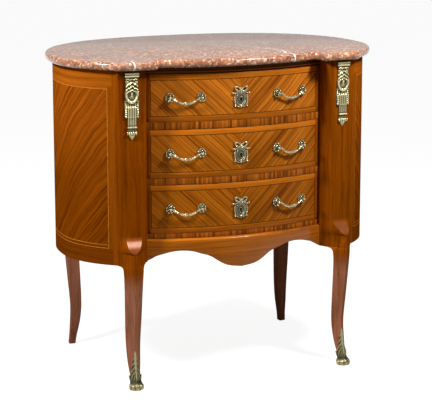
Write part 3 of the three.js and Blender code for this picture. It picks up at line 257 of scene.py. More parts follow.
def wood(name, light, dark, turn=0.0, mirrored=False, axis=None, streak=60.0, contrast=0.8, wave=0.012,
         roughness=0.36, gloss=0.35, blocks=0.0, lines=0.5, fade=None, sheen=0.24, polish_from=0.70):
    """Polished wood. The grain runs along U turned by turn degrees, or along an axis of the object.
    mirrored folds the pattern about U = 0, and blocks cuts it into strips of that width, as in cross banding.
    fade gives two heights and a second pair of tones, taken on below the lower one."""
    g = Graph(name)
    if axis:
        place = g.place()
        turned = g.mapping(place, rotation=GRAIN_TURN[axis])
    else:
        across, up, _ = g.split(g.node("UVMap", uv_map="veneer").outputs["UV"])
        # the two folded halves lie apart in depth, so that their grain isn't a plain mirror image
        depth = g.math("MULTIPLY", g.math("SIGN", across), 0.37) if mirrored else None
        place = g.join(g.math("ABSOLUTE", across) if mirrored else across, up, depth)
        turned = g.mapping(place, rotation=(0, 0, math.radians(-turn)))
    shift = g.centred(g.noise(place, 7.0, 2.0), wave)
    along, across, deep = g.split(turned)
    grain = g.join(along, g.math("ADD", across, shift), g.math("ADD", deep, shift) if axis else deep)

    def streaks(length, width, detail, rough=0.55):
        return g.noise(g.mapping(grain, scale=(length, width, width)), 1.0, detail, rough)

    figure, fine = streaks(3.5, streak * 2.6, 3.0, 0.6), streaks(9.0, streak * 9, 3.0, 0.7)
    pore, cloud = streaks(34.0, 900.0, 1.0), g.noise(place, 5.5, 3.0, 0.5)
    tone = g.total((streaks(2.0, streak, 2.0, 0.5), 0.34), (figure, 0.30), (fine, 0.22), (cloud, 0.14))
    if blocks:
        cell = g.math("FLOOR", g.math("DIVIDE", across, blocks))
        pick = g.node("TexWhiteNoise", noise_dimensions="1D")
        g.feed(pick, {"W": cell})
        tone = g.total((tone, 0.82), (pick.outputs["Value"], 0.17))
    half = 0.11 / contrast

    def tones(high, low):
        return g.ramp(tone, [(0.5 - 1.1 * half, linear(*low)), (0.5, linear(*between(low, high, 0.58))),
                             (0.5 + half, linear(*high))])

    colour = tones(light, dark)
    if fade:
        low_z, high_z, other_light, other_dark = fade
        colour = g.mix(g.span(g.split(g.place())["Z"], low_z, high_z), tones(other_light, other_dark), colour)
    drawn = g.ramp(figure, [(0.36, (0.60, 0.50, 0.40, 1)), (0.47, (1, 1, 1, 1))])
    dashes = g.ramp(pore, [(0.30, (0.66, 0.58, 0.5, 1)), (0.40, (1, 1, 1, 1))])
    colour = g.mix(0.7, g.mix(lines, colour, drawn, "MULTIPLY"), dashes, "MULTIPLY")
    g.shade({"Base Color": colour, "Roughness": g.span(cloud, 0, 1, roughness - 0.05, roughness + 0.07, "LINEAR"),
             "Specular IOR Level": sheen, "Specular Tint": (1.0, 0.5, 0.12, 1)})
    if gloss:
        g.polish(polish_from, polish_from + 0.28, 0.0, gloss, 0.16)
    g.bump(fine, 0.00012, 0.5)
    return g.material


def bronze_material(name, high, low, roughness=0.36):
    """Cast bronze: bright where the relief stands out and brown-green where it lies deep; the dark of the hollows is
    partly patina and partly painted shade, the bright of the high points partly painted highlight.
    """
    g = Graph(name)
    relief = g.node("Attribute", attribute_name="relief").outputs["Fac"]
    place = g.place()
    spots = g.noise(place, 260.0, 3.0, 0.6)
    share = g.math("ADD", relief, g.centred(spots, 0.55), clamp=True)
    colour = g.ramp(share, [(0.06, linear(*low)), (0.45, linear(*between(low, high, 0.56))), (0.9, linear(*high))])
    colour = g.mix(g.math("MULTIPLY", g.noise(place, 60.0, 2.0), 0.35), colour, linear(116, 122, 92))
    g.shade({"Base Color": colour, "Metallic": 0.9,
             "Roughness": g.span(share, 0, 1, roughness + 0.26, roughness - 0.06, "LINEAR")})
    g.bump(spots, 0.00025, 0.6)
    return g.material


# Two veins over the front edge, and a third that carries the first one on over the top:
# from, to (metres, seen from above), half width, and the run past the ends as a share of the length
VEINS = [((0.162, -0.285), (0.148, -0.17), 0.0035, 0.15), ((-0.298, -0.30), (-0.283, -0.225), 0.0028, 0.1),
         ((0.150, -0.178), (0.085, 0.02), 0.0016, 0.05)]
PEBBLES_PER_METRE = 205.0
PEBBLE_TONES = [(0.00, (112, 60, 34)), (0.16, (150, 86, 50)), (0.34, (190, 114, 72)), (0.52, (208, 142, 98)),
                (0.68, (150, 110, 92)), (0.80, (232, 188, 140)), (0.93, (246, 228, 204))]
CLOUD_TONES = [(0.34, (150, 112, 100)), (0.5, (176, 128, 106)), (0.66, (206, 170, 150))]
VEIN_TONE = (242, 234, 222)


def marble_material(name):
    """A brecciated marble: rust and salmon pebbles with cream and grey ones, and white veins."""
    g = Graph(name)
    place = g.place()
    warp = g.noise(place, 60.0, 3.0).node.outputs["Color"]
    offset = g.node("VectorMath", {0: warp, "Scale": 0.012}, operation="SCALE").outputs[0]
    moved = g.node("VectorMath", {0: place, 1: offset}, operation="ADD").outputs[0]

    def cells(feature, output):
        return g.node("TexVoronoi", {"Vector": moved, "Scale": PEBBLES_PER_METRE}, feature=feature).outputs[output]

    pick = g.node("SeparateColor", {0: cells("F1", "Color")}).outputs[0]
    colour = g.ramp(pick, [(start, linear(*tone)) for start, tone in PEBBLE_TONES])
    colour.node.color_ramp.interpolation = "CONSTANT"
    edge = cells("DISTANCE_TO_EDGE", "Distance")
    seam = g.ramp(edge, [(0.0, (0.5, 0.36, 0.3, 1)), (0.11, (1.06, 1.06, 1.06, 1))])
    colour = g.mix(0.7, colour, seam, "MULTIPLY")
    tint = g.ramp(g.noise(place, 9.0, 5.0, 0.6), [(start, linear(*tone)) for start, tone in CLOUD_TONES])
    grit = g.noise(place, 420.0, 2.0)
    grain = g.ramp(grit, [(0.3, (0.7, 0.66, 0.64, 1)), (0.62, (1.08, 1.06, 1.04, 1))])
    colour = g.mix(0.5, g.mix(0.32, colour, tint), grain, "MULTIPLY")
    # veins: white where the warped place lies close to a line seen from above
    bend = g.centred(g.noise(place, 16.0, 4.0), 0.055)
    x, y, _ = g.split(place)
    for (x0, y0), (x1, y1), width, reach in VEINS:
        dx, dy = x1 - x0, y1 - y0
        length = math.hypot(dx, dy)
        nx, ny = -dy / length, dx / length
        off = g.math("SUBTRACT", g.total((x, nx), (y, ny)), x0 * nx + y0 * ny)
        off = g.math("ABSOLUTE", g.math("ADD", off, bend))
        along = g.total((x, dx / length ** 2), (y, dy / length ** 2))
        along = g.math("SUBTRACT", along, (x0 * dx + y0 * dy) / length ** 2)
        inside = g.math("MULTIPLY", g.math("GREATER_THAN", along, -reach), g.math("LESS_THAN", along, 1 + reach))
        spread = g.math("ADD", g.math("MULTIPLY", along, -width * 0.7), width * 1.3)
        mask = g.math("LESS_THAN", off, g.math("MULTIPLY", spread, g.math("ADD", grit, 0.45)))
        colour = g.mix(g.math("MULTIPLY", g.math("MULTIPLY", mask, inside), 0.9), colour, linear(*VEIN_TONE))
    g.shade({"Base Color": colour, "Roughness": 0.24, "Specular IOR Level": 0.22})
    g.polish(0.45, 0.78, 0.08, 0.75, 0.12)
    g.bump(edge, 0.0001, 0.3)
    return g.material


def steel_material():
    g = Graph("lock_steel")
    brushed = g.noise(g.mapping(g.place(), scale=(20, 400, 400)), 1.0, 3.0)
    g.shade({"Base Color": g.ramp(brushed, [(0.3, linear(112, 112, 114)), (0.7, linear(158, 158, 158))]),
             "Metallic": 1.0, "Roughness": 0.42})
    g.bump(brushed, 0.0001, 0.4)
    return g.material


# what the straight-grained veneers, the matt woods, the posts and the knee stops have in common
PLAIN = dict(contrast=0.75, lines=0.35)
MATT = dict(gloss=0.0, sheen=0.0)
POST = dict(axis="Z", streak=70, lines=0.35, **MATT)
STOP = dict(axis="Z", streak=70, contrast=0.7, lines=0.1, polish_from=-0.05)
# tones of the painted highlight on the left knee stop, and the height of its middle
STOP_HIGHLIGHT_LIGHT, STOP_HIGHLIGHT_DARK = (222, 162, 134), (190, 126, 96)
STOP_HIGHLIGHT_MIDDLE = 0.3805

# the drawer fields take darker tones below about 0.5 m: painted shade, as less light falls on the lower drawers
wood_field = wood("veneer_field_v", (218, 128, 36), (132, 64, 4), turn=44, mirrored=True, streak=110, contrast=1.0,
                  lines=0.8, fade=(0.5, 0.74, (196, 112, 20), (114, 54, 0)))
# the side fields take darker tones below about 0.5 m: painted shade, as less light falls lower down
wood_side = wood("veneer_field_side", (180, 92, 16), (116, 54, 2), turn=-50, streak=84, contrast=1.0, wave=0.035,
                 lines=0.8, fade=(0.5, 0.72, (146, 72, 4), (102, 46, 0)), **MATT)
wood_band = wood("veneer_banding", (208, 118, 28), (146, 74, 6), streak=90, **PLAIN)
# the lower side bands take darker tones below about 0.4 m: painted shade, as less light falls lower down
wood_side_band = wood("veneer_side_banding", (190, 102, 22), (134, 66, 6), streak=90,
                      fade=(0.4, 0.7, (144, 70, 6), (102, 48, 0)), **PLAIN, **MATT)
wood_upright = wood("veneer_upright", (164, 84, 10), (116, 54, 0), turn=90, streak=80, **PLAIN, **MATT)
wood_cross = wood("veneer_cross_banding", (196, 108, 30), (98, 44, 4), turn=90, streak=230, blocks=0.006,
                  contrast=1.05, lines=0.8)
wood_line = wood("stringing_light", (220, 142, 54), (170, 98, 24), streak=40, contrast=0.7, **MATT)
wood_line_dark = wood("stringing_dark", (96, 46, 4), (62, 28, 0), streak=40, contrast=0.7)
wood_apron = wood("veneer_apron", (194, 108, 20), (146, 74, 6), streak=70, lines=0.4, gloss=0.5, polish_from=0.0)
wood_bead = wood("bead_wood", (150, 72, 26), (104, 44, 12), gloss=0.6)
# near-black wood that paints the shadow under the marble and the dark gap above the top drawer
wood_painted_shadow = wood("rail_painted_shadow", (64, 26, 4), (38, 14, 0), turn=90)
# below about 0.3 m the legs take paler pinkish tones: a painted reflection of the pale surroundings on their polish
wood_post = wood("post_wood", (156, 76, 4), (104, 46, 0), fade=(0.25, 0.315, (178, 116, 88), (132, 80, 54)), **POST)
wood_post_right = wood("post_wood_right", (158, 80, 6), (106, 49, 0),
                       fade=(0.25, 0.315, (178, 114, 86), (132, 78, 50)), **POST)
# the scooped stop of the knee: a pale band painted on as a highlight in its upper half, under a clear coat, with post
# colour above and below
wood_stop = wood("knee_stop_wood", (150, 72, 10), (110, 50, 6), gloss=1.0,
                 fade=(0.384, 0.3915, STOP_HIGHLIGHT_LIGHT, STOP_HIGHLIGHT_DARK), **STOP)
wood_stop_low = wood("knee_stop_wood_low", STOP_HIGHLIGHT_LIGHT, STOP_HIGHLIGHT_DARK, gloss=0.5,
                     fade=(0.370, STOP_HIGHLIGHT_MIDDLE, (140, 66, 12), (104, 46, 6)), **STOP)
wood_stop_right = wood("knee_stop_wood_right", (140, 66, 8), (104, 46, 4),
                       fade=(0.3815, 0.3915, (134, 68, 26), (102, 48, 14)), **STOP)
wood_core = wood("plain_wood", (176, 118, 66), (130, 82, 42), axis="X", contrast=1.0, gloss=0.05, roughness=0.55)
wood_lining = wood("drawer_lining_wood", (196, 150, 98), (152, 108, 62), axis="Y", contrast=1.0, gloss=0.03,
                   roughness=0.6)
marble = marble_material("marble")
bronze = bronze_material("cast_bronze", (230, 218, 170), (42, 37, 18))
bronze_handle = bronze_material("cast_bronze_handles", (200, 186, 146), (34, 28, 18), roughness=0.34)
bronze_plate = bronze_material("cast_bronze_plates", (176, 166, 134), (30, 26, 14))
bronze_foot = bronze_material("cast_bronze_feet", (172, 158, 116), (30, 25, 14), roughness=0.4)
steel = steel_material()


# ---------------------------------------------------------------- meshes
def add_object(name, data):
    made = bpy.data.objects.new(name, data)
    bpy.context.scene.collection.objects.link(made)
    return made


def make_mesh(name, verts, faces, materials, uvs=None, relief=None, angle=35, flip=False):
    """verts in millimetres. materials is one for all faces, or a list with one for each face."""
    mesh = bpy.data.meshes.new(name)
    mesh.from_pydata([(x * MM, y * MM, z * MM) for x, y, z in verts], [], faces)
    each = materials if isinstance(materials, list) else [materials] * len(faces)
    used = list(dict.fromkeys(each))
    for material in used:
        mesh.materials.append(material)
    mesh.polygons.foreach_set("material_index", [used.index(material) for material in each])
    if uvs:
        layer = mesh.uv_layers.new(name="veneer")
        for loop in mesh.loops:
            layer.data[loop.index].uv = uvs[loop.vertex_index]
    if relief:
        mesh.attributes.new("relief", "FLOAT", "POINT").data.foreach_set("value", relief)
    if flip:
        mesh.flip_normals()
    mesh.shade_smooth()
    mesh.set_sharp_from_angle(angle=math.radians(angle))
    return add_object(name, mesh)


def place_piece(made, body, slot, *nodes):
    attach(made, body)
    if nodes:
        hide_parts(*nodes)
    return made


def carry_over(node, name, material, body, slot, angle=30, keep=None):
    """Places a cleaned copy of a CAD node's mesh with its own material."""
    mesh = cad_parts[node].data.copy()
    mesh.name = name
    mesh.materials.clear()
    mesh.materials.append(material)
    b = bmesh.new()
    b.from_mesh(mesh)
    bmesh.ops.remove_doubles(b, verts=b.verts, dist=2e-6)
    bmesh.ops.dissolve_degenerate(b, edges=b.edges, dist=1e-6)
    if keep:
        bmesh.ops.delete(b, geom=[face for face in b.faces if not keep(face)], context="FACES")
    for face in b.faces:
        face.smooth = True
        face.material_index = 0
    b.to_mesh(mesh)
    b.free()
    mesh.set_sharp_from_angle(angle=math.radians(angle))
    return place_piece(add_object(name, mesh), body, slot, node)


def all_but_bowed_front(depth, half=1000.0, lean=0.6):
    """Keeps the faces that don't look forward within that depth behind the bow."""
    def keep(face):
        centre = face.calc_center_median()
        x, y = centre.x / MM, centre.y / MM
        return not (face.normal.y < -lean and y < bow_y(x) + depth and abs(x) < half)
    return keep


def bevel(made, width, segments=2):
    modifier = made.modifiers.new("soft edges", "BEVEL")
    modifier.width = width * MM
    modifier.segments = segments
    modifier.limit_method = "ANGLE"
    modifier.angle_limit = math.radians(24)
    modifier.harden_normals = True


def grid_faces(rows, columns, closed=False):
    faces = []
    for i in range(rows - 1):
        for j in range(columns if closed else columns - 1):
            a, b = i * columns + j, i * columns + (j + 1) % columns
            faces.append((a, b, b + columns, a + columns))
    return faces


def turned_over(faces):
    return [(b, a, d, c) for a, b, c, d in faces]


def with_lines(values, lines, gap=1e-3):
    """The values with the lines added, none twice."""
    merged = sorted(set(values) | set(lines))
    kept = [merged[0]]
    for value in merged[1:]:
        if value - kept[-1] > gap:
            kept.append(value)
        elif value in lines:
            kept[-1] = value
    return kept


def line_pairs(width, *places):
    """Both edges of lines of that width."""
    return [place + side * width / 2 for place in places for side in (-1, 1)]


# ---------------------------------------------------------------- marble
def offset_loop(points, distance):
    area = sum(a.x * b.y - b.x * a.y for a, b in zip(points, points[1:] + points[:1]))
    turn = math.copysign(1, area)
    moved = []
    for before, point, after in zip(points[-1:] + points, points, points[1:] + points[:1]):
        side_in, side_out = (point - before).normalized(), (after - point).normalized()
        normal_in, normal_out = (Vector((side.y, -side.x)) * turn for side in (side_in, side_out))
        mitre = (normal_in + normal_out).normalized()
        moved.append(point + mitre * (distance / mitre.dot(normal_out)))
    return moved


def rounded_corner(before, corner, after, reach, steps=8):
    start = corner.lerp(before, min(1, reach / (corner - before).length))
    end = corner.lerp(after, min(1, reach / (corner - after).length))
    return [start.lerp(corner, t).lerp(corner.lerp(end, t), t) for t in (i / steps for i in range(steps + 1))]


def marble_outline():
    """The oval with its overhang, broken forward over the posts and bowed between them."""
    crease_round, corner_round = 9, 20
    face_in, face_out = (Vector((top[0], top[1] - MARBLE_FRONT)) for top, _ in POST_POINTS[1:])
    slope = (face_out.y - face_in.y) / (face_out.x - face_in.x)
    step_x = OPENING_HALF - 19.5
    crease = Vector((step_x, bow_y(step_x, MARBLE_FRONT)))
    inner = Vector((step_x, face_in.y + slope * (step_x - face_in.x)))
    outer_x = face_out.x + MARBLE_OVERHANG / 2
    outer = Vector((outer_x, face_out.y + slope * (outer_x - face_out.x)))
    join_x = SIDE_FRONT_X + MARBLE_OVERHANG * math.cos(FRONT_ANGLE)
    join_angle = oval_angle_at(join_x, True, MARBLE_OVERHANG)
    arc = [oval_point(lerp(join_angle, math.pi / 2, i / 60), MARBLE_OVERHANG) for i in range(61)]
    bow_end = step_x - crease_round
    bow = [Vector((x, bow_y(x, MARBLE_FRONT))) for x in (bow_end * i / 20 for i in range(21))]
    half = bow[:-1] + rounded_corner(bow[-1], crease, inner, crease_round)
    half += rounded_corner(crease, inner, outer, corner_round)
    half += rounded_corner(inner, outer, arc[0], corner_round) + arc
    return half + [Vector((-p.x, p.y)) for p in reversed(half[1:-1])]


def build_marble():
    outline, steps = marble_outline(), 12
    verts = []
    for i in range(steps + 1):
        turn = math.pi * (i / steps - 0.5)
        z = (BODY_TOP + MARBLE_TOP) / 2 + (MARBLE_TOP - BODY_TOP) / 2 * math.sin(turn)
        verts += [(p.x, p.y, z) for p in offset_loop(outline, -MARBLE_EDGE * (1 - math.cos(turn)))]
    count = len(outline)
    faces = grid_faces(steps + 1, count, closed=True)
    faces += [tuple(range(count - 1, -1, -1)), tuple(range(steps * count, (steps + 1) * count))]
    place_piece(make_mesh("marble_slab", verts, faces, marble, angle=50), "case", "marble", "marble_top")


build_marble()

# ---------------------------------------------------------------- side and back panels
PANEL_GAP, PANEL_THICK = 0.3, 20
TOP_LINE, LOW_LINE, LOWEST_LINE = 780.0, 377.0, 368.0
UPRIGHT_BORDER = 22.0
LINE_WIDTH = 1.7


def panel_body(name, start, end, steps, sign):
    """Edges and inner face of a curved panel, which its veneered face closes."""
    angles = [lerp(start, end, i / steps) for i in range(steps + 1)]
    loop = [oval_point(angle) for angle in angles] + [oval_point(angle, -PANEL_THICK) for angle in angles[::-1]]
    count = len(loop)
    verts = [(sign * p.x, p.y, z) for z in (BODY_BOTTOM, BODY_TOP) for p in loop]
    faces = [(i, (i + 1) % count, (i + 1) % count + count, i + count) for i in range(steps, count)]
    for level in (0, count):
        for i in range(steps):
            quad = (level + i, level + i + 1, level + count - 2 - i, level + count - 1 - i)
            faces.append(quad if level == 0 else quad[::-1])
    return make_mesh(name, verts, faces, wood_core, angle=40, flip=(sign > 0))


def side_wood(s, z, length):
    """What a side panel is veneered with at s along it: mitred borders, stringing and the slanted field."""
    w = LINE_WIDTH / 2
    inward = min(s, length - s)
    if z > TOP_LINE + w or z < LOWEST_LINE - w:
        rise = z - TOP_LINE if z > TOP_LINE else LOWEST_LINE - z
        return wood_upright if inward < UPRIGHT_BORDER - rise * 0.45 else wood_side_band
    if inward < UPRIGHT_BORDER - w:
        return wood_upright
    if inward <= UPRIGHT_BORDER + w or min(abs(z - line) for line in (TOP_LINE, LOW_LINE, LOWEST_LINE)) <= w:
        return wood_line
    return wood_side_band if z < LOW_LINE else wood_side


def veneered_panel(name, start, end, steps, sign, framed):
    points = [oval_point(lerp(start, end, i / 400)) for i in range(401)]
    places = distances(points)
    length = places[-1]
    columns = [length * i / steps for i in range(steps + 1)]
    rows = [lerp(BODY_BOTTOM, BODY_TOP, i / 12) for i in range(13)]
    if framed:
        columns = with_lines(columns, line_pairs(LINE_WIDTH, UPRIGHT_BORDER, length - UPRIGHT_BORDER))
        rows = with_lines(rows, line_pairs(LINE_WIDTH, TOP_LINE, LOW_LINE, LOWEST_LINE))

    def at(s):
        for k in range(len(places) - 1):
            if s <= places[k + 1] + 1e-9:
                return points[k].lerp(points[k + 1], (s - places[k]) / (places[k + 1] - places[k]))
        return points[-1]

    across = [at(s) for s in columns]
    verts = [(sign * p.x, p.y, z) for z in rows for p in across]
    u_start = 0 if framed else length / 2
    uvs = [((s - u_start) * MM, z * MM) for z in rows for s in columns]
    woods = [side_wood((s + s_next) / 2, (z + z_next) / 2, length) if framed else wood_upright
             for z, z_next in zip(rows, rows[1:]) for s, s_next in zip(columns, columns[1:])]
    return make_mesh(name, verts, grid_faces(len(rows), len(columns)), woods, uvs=uvs, angle=40, flip=(sign < 0))


def build_panel(name, node, start, end, steps, sign, framed):
    place_piece(panel_body(f"{name}_core", start, end, steps, sign), "case", "veneer", node)
    place_piece(veneered_panel(f"{name}_veneer", start, end, steps, sign, framed), "case", "veneer")


side_start, side_end = oval_angle_after(FRONT_ANGLE, PANEL_GAP), oval_angle_after(REAR_START, -PANEL_GAP)
for side, sign in SIDES:
    build_panel(f"side_{side}", f"side_panel_{side}", side_start, side_end, 48, sign, True)
back_start = oval_angle_after(REAR_END, PANEL_GAP)
build_panel("back", "back_panel", back_start, math.pi - back_start, 60, 1, False)

# ---------------------------------------------------------------- posts and legs
LEG_ROOT, LEG_FOOT = 308.0, 4.3
# shares of the leg's height, of its lean out at the knee and at the toe, and of its half width
LEG_SHARES = [(1, 1, 0, 1.13), (0.94, 1, 0, 1.08), (0.78, 0.73, 0, 1.005), (0.6, 0.375, 0, 0.945),
              (0.37, 0, 0, 0.83), (0.21, 0, 0.28, 0.723), (0.08, 0, 0.74, 0.56), (0, 0, 1, 0.53)]
KNEE_LEAN, TOE_LEAN, LEG_HALF = 16.5, 30, 23.5
LEG_TURN = math.radians(6)
LEG_DIRECTION = Vector((math.sin(LEG_TURN), -math.cos(LEG_TURN)))
LEG_ACROSS = Vector((-LEG_DIRECTION.y, LEG_DIRECTION.x))
ANKLE = Vector((294, -242))
PANEL_CORNER = oval_point(FRONT_ANGLE)
FRAME_BACK_Y = -172.0
TONGUE_TOP, TONGUE_TIP = 399.0, 357.0
TIP = Vector((299.2, -280.5))
POST_WOODS = {"right": (wood_post_right, wood_stop_right, wood_stop_right),
              "left": (wood_post, wood_stop, wood_stop_low)}

leg_points = [Vector((knee * KNEE_LEAN + toe * TOE_LEAN, width * LEG_HALF, LEG_FOOT + height * (LEG_ROOT - LEG_FOOT)))
              for height, knee, toe, width in LEG_SHARES]
leg_curve = sorted(spline(leg_points, 12), key=lambda p: p.z)


def leg_at(z):
    """Lean, half width and height of the leg's section."""
    for a, b in zip(leg_curve, leg_curve[1:]):
        if z <= b.z:
            return a.lerp(b, max(0.0, (z - a.z) / max(1e-6, b.z - a.z)))
    return leg_curve[-1]


def post_ring(z):
    """Corner points of the post's section: the chamfer narrows to the tongue's tip and goes on as an arris."""
    share = min(1.1, (BODY_TOP - z) / (BODY_TOP - POST_TAPER_LOW))
    reveal, face_in, face_out = (Vector(between(top, knee, share)) for top, knee in POST_POINTS)
    middle, half = (face_in + face_out) / 2, (face_out - face_in) / 2
    t = min(1.0, max(0.0, (z - TONGUE_TIP) / (TONGUE_TOP - TONGUE_TIP)))
    width = max(0.02, math.sin(math.pi / 2 * t ** 0.62))
    middle = middle.lerp(TIP, smooth(1 - t, 0.0, 1.0))
    if z < TONGUE_TIP:
        root = ANKLE + LEG_DIRECTION * (KNEE_LEAN + 26.5)
        middle, width = TIP.lerp(root, smooth(TONGUE_TIP - z, 0, TONGUE_TIP - BODY_BOTTOM)), 0.02
    inner, outer = middle - half * width, middle + half * width
    return [reveal, inner, inner.lerp(outer, 0.5), outer, PANEL_CORNER, oval_point(FRONT_ANGLE, -22),
            Vector((300, FRAME_BACK_Y)), Vector((OPENING_HALF, FRAME_BACK_Y)),
            Vector((OPENING_HALF, bow_y(OPENING_HALF, 10.3)))]


def leg_ring(z):
    """Section of the cabriole leg with as many points as the post's."""
    station = leg_at(z)
    centre = ANKLE + LEG_DIRECTION * station.x
    a, b, c, d = (centre + way * station.y for way in (-LEG_ACROSS, LEG_DIRECTION, LEG_ACROSS, -LEG_DIRECTION))
    return [a, b.lerp(a, 0.04), b, b.lerp(c, 0.04), c, c.lerp(d, 0.5), d, d.lerp(a, 0.4), d.lerp(a, 0.7)]


def subdivided(ring):
    points = []
    for point, following, count in zip(ring, ring[1:] + ring[:1], (4, 3, 3, 4, 2, 2, 2, 2, 1)):
        points += [point.lerp(following, k / count) for k in range(count)]
    return points


def build_front_post(sign, side):
    levels = [BODY_TOP, 700, 560, 440, TONGUE_TOP + 6]
    levels += [lerp(TONGUE_TOP, TONGUE_TIP, k / 20) for k in range(21)]
    levels += [lerp(TONGUE_TIP, BODY_BOTTOM, k / 6) for k in range(1, 7)]
    rings = [[(p.x, p.y, z) for p in subdivided(post_ring(z))] for z in levels]
    lowest, root = rings[-1], subdivided(leg_ring(LEG_ROOT))
    for drop, draw in ((0.06, 0.5), (0.16, 0.76), (0.32, 0.89), (0.55, 0.96), (0.8, 0.99)):
        z = lerp(BODY_BOTTOM, LEG_ROOT, drop)
        rings.append([(lerp(a[0], b.x, draw), lerp(a[1], b.y, draw), z) for a, b in zip(lowest, root)])
    for z in (lerp(LEG_ROOT, LEG_FOOT, k / 40) for k in range(41)):
        rings.append([(p.x, p.y, z) for p in subdivided(leg_ring(z))])
    count = len(root)
    verts = [(sign * x, y, z) for ring in rings for x, y, z in ring]
    top, base = tuple(range(count)), tuple(range(len(verts) - count, len(verts)))
    faces = grid_faces(len(rings), count, closed=True) + [top[::-1], base]
    faces = [face[::-1] for face in faces] if sign > 0 else faces
    plain, stop, stop_low = POST_WOODS[side]
    woods = [plain] * len(faces)
    # the chamfer faces in the tongue take the stop woods, split at the middle of the painted highlight
    for i in range(len(rings) - 1):
        middle = (rings[i][0][2] + rings[i + 1][0][2]) / 2
        if TONGUE_TIP - 1 < middle < TONGUE_TOP - 2:
            for k in range(4, 10):
                woods[i * count + k] = stop_low if middle * MM < STOP_HIGHLIGHT_MIDDLE else stop
    made = make_mesh(f"front_post_and_leg_{side}", verts, faces, woods, angle=26)
    bevel(made, 1.2)
    place_piece(made, "case", "solid_wood", f"front_post_{side}")


for side, sign in SIDES:
    build_front_post(sign, side)
    node = f"rear_post_{side}"
    bevel(carry_over(node, f"rear_post_and_leg_{side}", wood_post, "case", "solid_wood", angle=28), 1.3, 3)


# ---------------------------------------------------------------- rails
def bowed_strip(name, profile, woods, steps=40):
    """An open profile of (forward, z) points carried along the bow, with a wood for each of its bands."""
    xs = [lerp(-OPENING_HALF, OPENING_HALF, i / steps) for i in range(steps + 1)]
    verts, uvs = [], []
    for forward, z in profile:
        row = [(x, bow_y(x, forward), z) for x in xs]
        places = distances(row)
        verts += row
        uvs += [((place - places[-1] / 2) * MM, (z + forward * 0.5) * MM) for place in places]
    each = [material for material in woods for _ in range(steps)]
    made = make_mesh(name, verts, grid_faces(len(profile), steps + 1), each, uvs=uvs, angle=40)
    place_piece(made, "case", "veneer")


SOFT_EDGE = 0.7
for node, low, high, name in (("divider_frame_1", 668.4, 687.5, "rail_upper"),
                              ("divider_frame_2", 524.0, 541.0, "rail_lower"),
                              ("bottom_board", 382.5, 395.0, "rail_bottom")):
    carry_over(node, f"{name}_frame", wood_core, "case", "veneer", keep=all_but_bowed_front(3, OPENING_HALF))
    rounding = [(-SOFT_EDGE, 0), (-SOFT_EDGE * 0.3, SOFT_EDGE * 0.3), (0, SOFT_EDGE)]
    profile = [(f, low + rise) for f, rise in rounding] + [(f, high - rise) for f, rise in reversed(rounding)]
    bowed_strip(f"{name}_veneer", profile, [wood_cross] * (len(profile) - 1))

carry_over("top_rail", "top_rail_core", wood_core, "case", "veneer", keep=all_but_bowed_front(2, lean=0.05))
BEAD_TOP, BEAD_LOW, BEAD_REACH = BODY_TOP - 8.5, BODY_TOP - 13.5, 4.5
# the flat strips above and below the bead take the painted shadow
profile = [(0, BODY_TOP - 17), (0, BEAD_LOW)]
for turn in (math.pi * k / 8 for k in range(1, 8)):
    profile.append((BEAD_REACH * math.sin(turn) ** 0.8, (BEAD_LOW + BEAD_TOP) / 2 - 2.5 * math.cos(turn)))
profile += [(0, BEAD_TOP), (0, BODY_TOP)]
bowed_strip("top_rail_bead", profile, [wood_painted_shadow] + [wood_bead] * (len(profile) - 3) + [wood_painted_shadow])

# ---------------------------------------------------------------- apron
APRON_TOP, APRON_DEPTH, APRON_FORWARD, APRON_THICK, APRON_ROUND = 382.0, 82.0, 10.3, 28.0, 7.5
# lower edge: share of the half opening, and share of the depth
APRON_CURVE = [(0, 1), (0.137, 0.94), (0.228, 0.83), (0.319, 0.646), (0.385, 0.549), (0.451, 0.495), (0.534, 0.415),
               (0.642, 0.378), (0.745, 0.402), (0.828, 0.463), (0.911, 0.54), (0.951, 0.61), (1, 0.69)]


def build_apron():
    points = [Vector((a * OPENING_HALF, APRON_TOP - d * APRON_DEPTH)) for a, d in APRON_CURVE]
    half = spline(points[:5], 6) + spline(points[4:], 6)[1:]
    soft, back = 1.2, APRON_FORWARD - APRON_THICK
    upper = [(APRON_FORWARD - APRON_ROUND * (1 - math.cos(t)), APRON_TOP - APRON_ROUND * (1 - math.sin(t)))
             for t in (math.pi / 2 * i / 8 for i in range(9))] + [(back, APRON_TOP)]
    verts, uvs = [], []
    for p in [Vector((-p.x, p.y)) for p in reversed(half[1:])] + half:
        section = [(back, p.y), (APRON_FORWARD - soft, p.y), (APRON_FORWARD - soft * 0.3, p.y + soft * 0.3),
                   (APRON_FORWARD, p.y + soft)] + upper + [(back, p.y)]
        verts += [(p.x, bow_y(p.x, f), z) for f, z in section]
        uvs += [(p.x * 1.02 * MM, (z + f * 0.6) * MM) for f, z in section]
    faces = turned_over(grid_faces(len(verts) // len(section), len(section)))
    place_piece(make_mesh("apron_board", verts, faces, wood_apron, uvs=uvs, angle=40), "case", "veneer", "apron")


build_apron()
carry_over("top_board", "top_board_inside", wood_core, "case", "drawer_lining")

# ---------------------------------------------------------------- drawers
STRING_SIDE, STRING_Z, STRING_WIDTH = 12.5, 15.0, 1.8
STRING_X = DRAWER_HALF - STRING_SIDE
ARRIS, GAP_BELOW, GAP_ABOVE = 0.7, 0.5, 1
KEYHOLE_HALF, KEYHOLE_LOW, KEYHOLE_HIGH = 4.0, -9.0, 3.5


def drawer_wood(x, z, low, high):
    """What a drawer front is veneered with: uprights, banding, dark stringing and the V-shaped field."""
    w = STRING_WIDTH / 2
    out, top, base = abs(x), high - STRING_Z, low + STRING_Z
    if out < STRING_X - w and base + w < z < top - w:
        return wood_field
    on_z = min(abs(z - top), abs(z - base)) <= w
    if (abs(out - STRING_X) <= w and base - w <= z <= top + w) or (on_z and out <= STRING_X + w):
        return wood_line_dark
    return wood_upright if out > STRING_X + w else wood_band


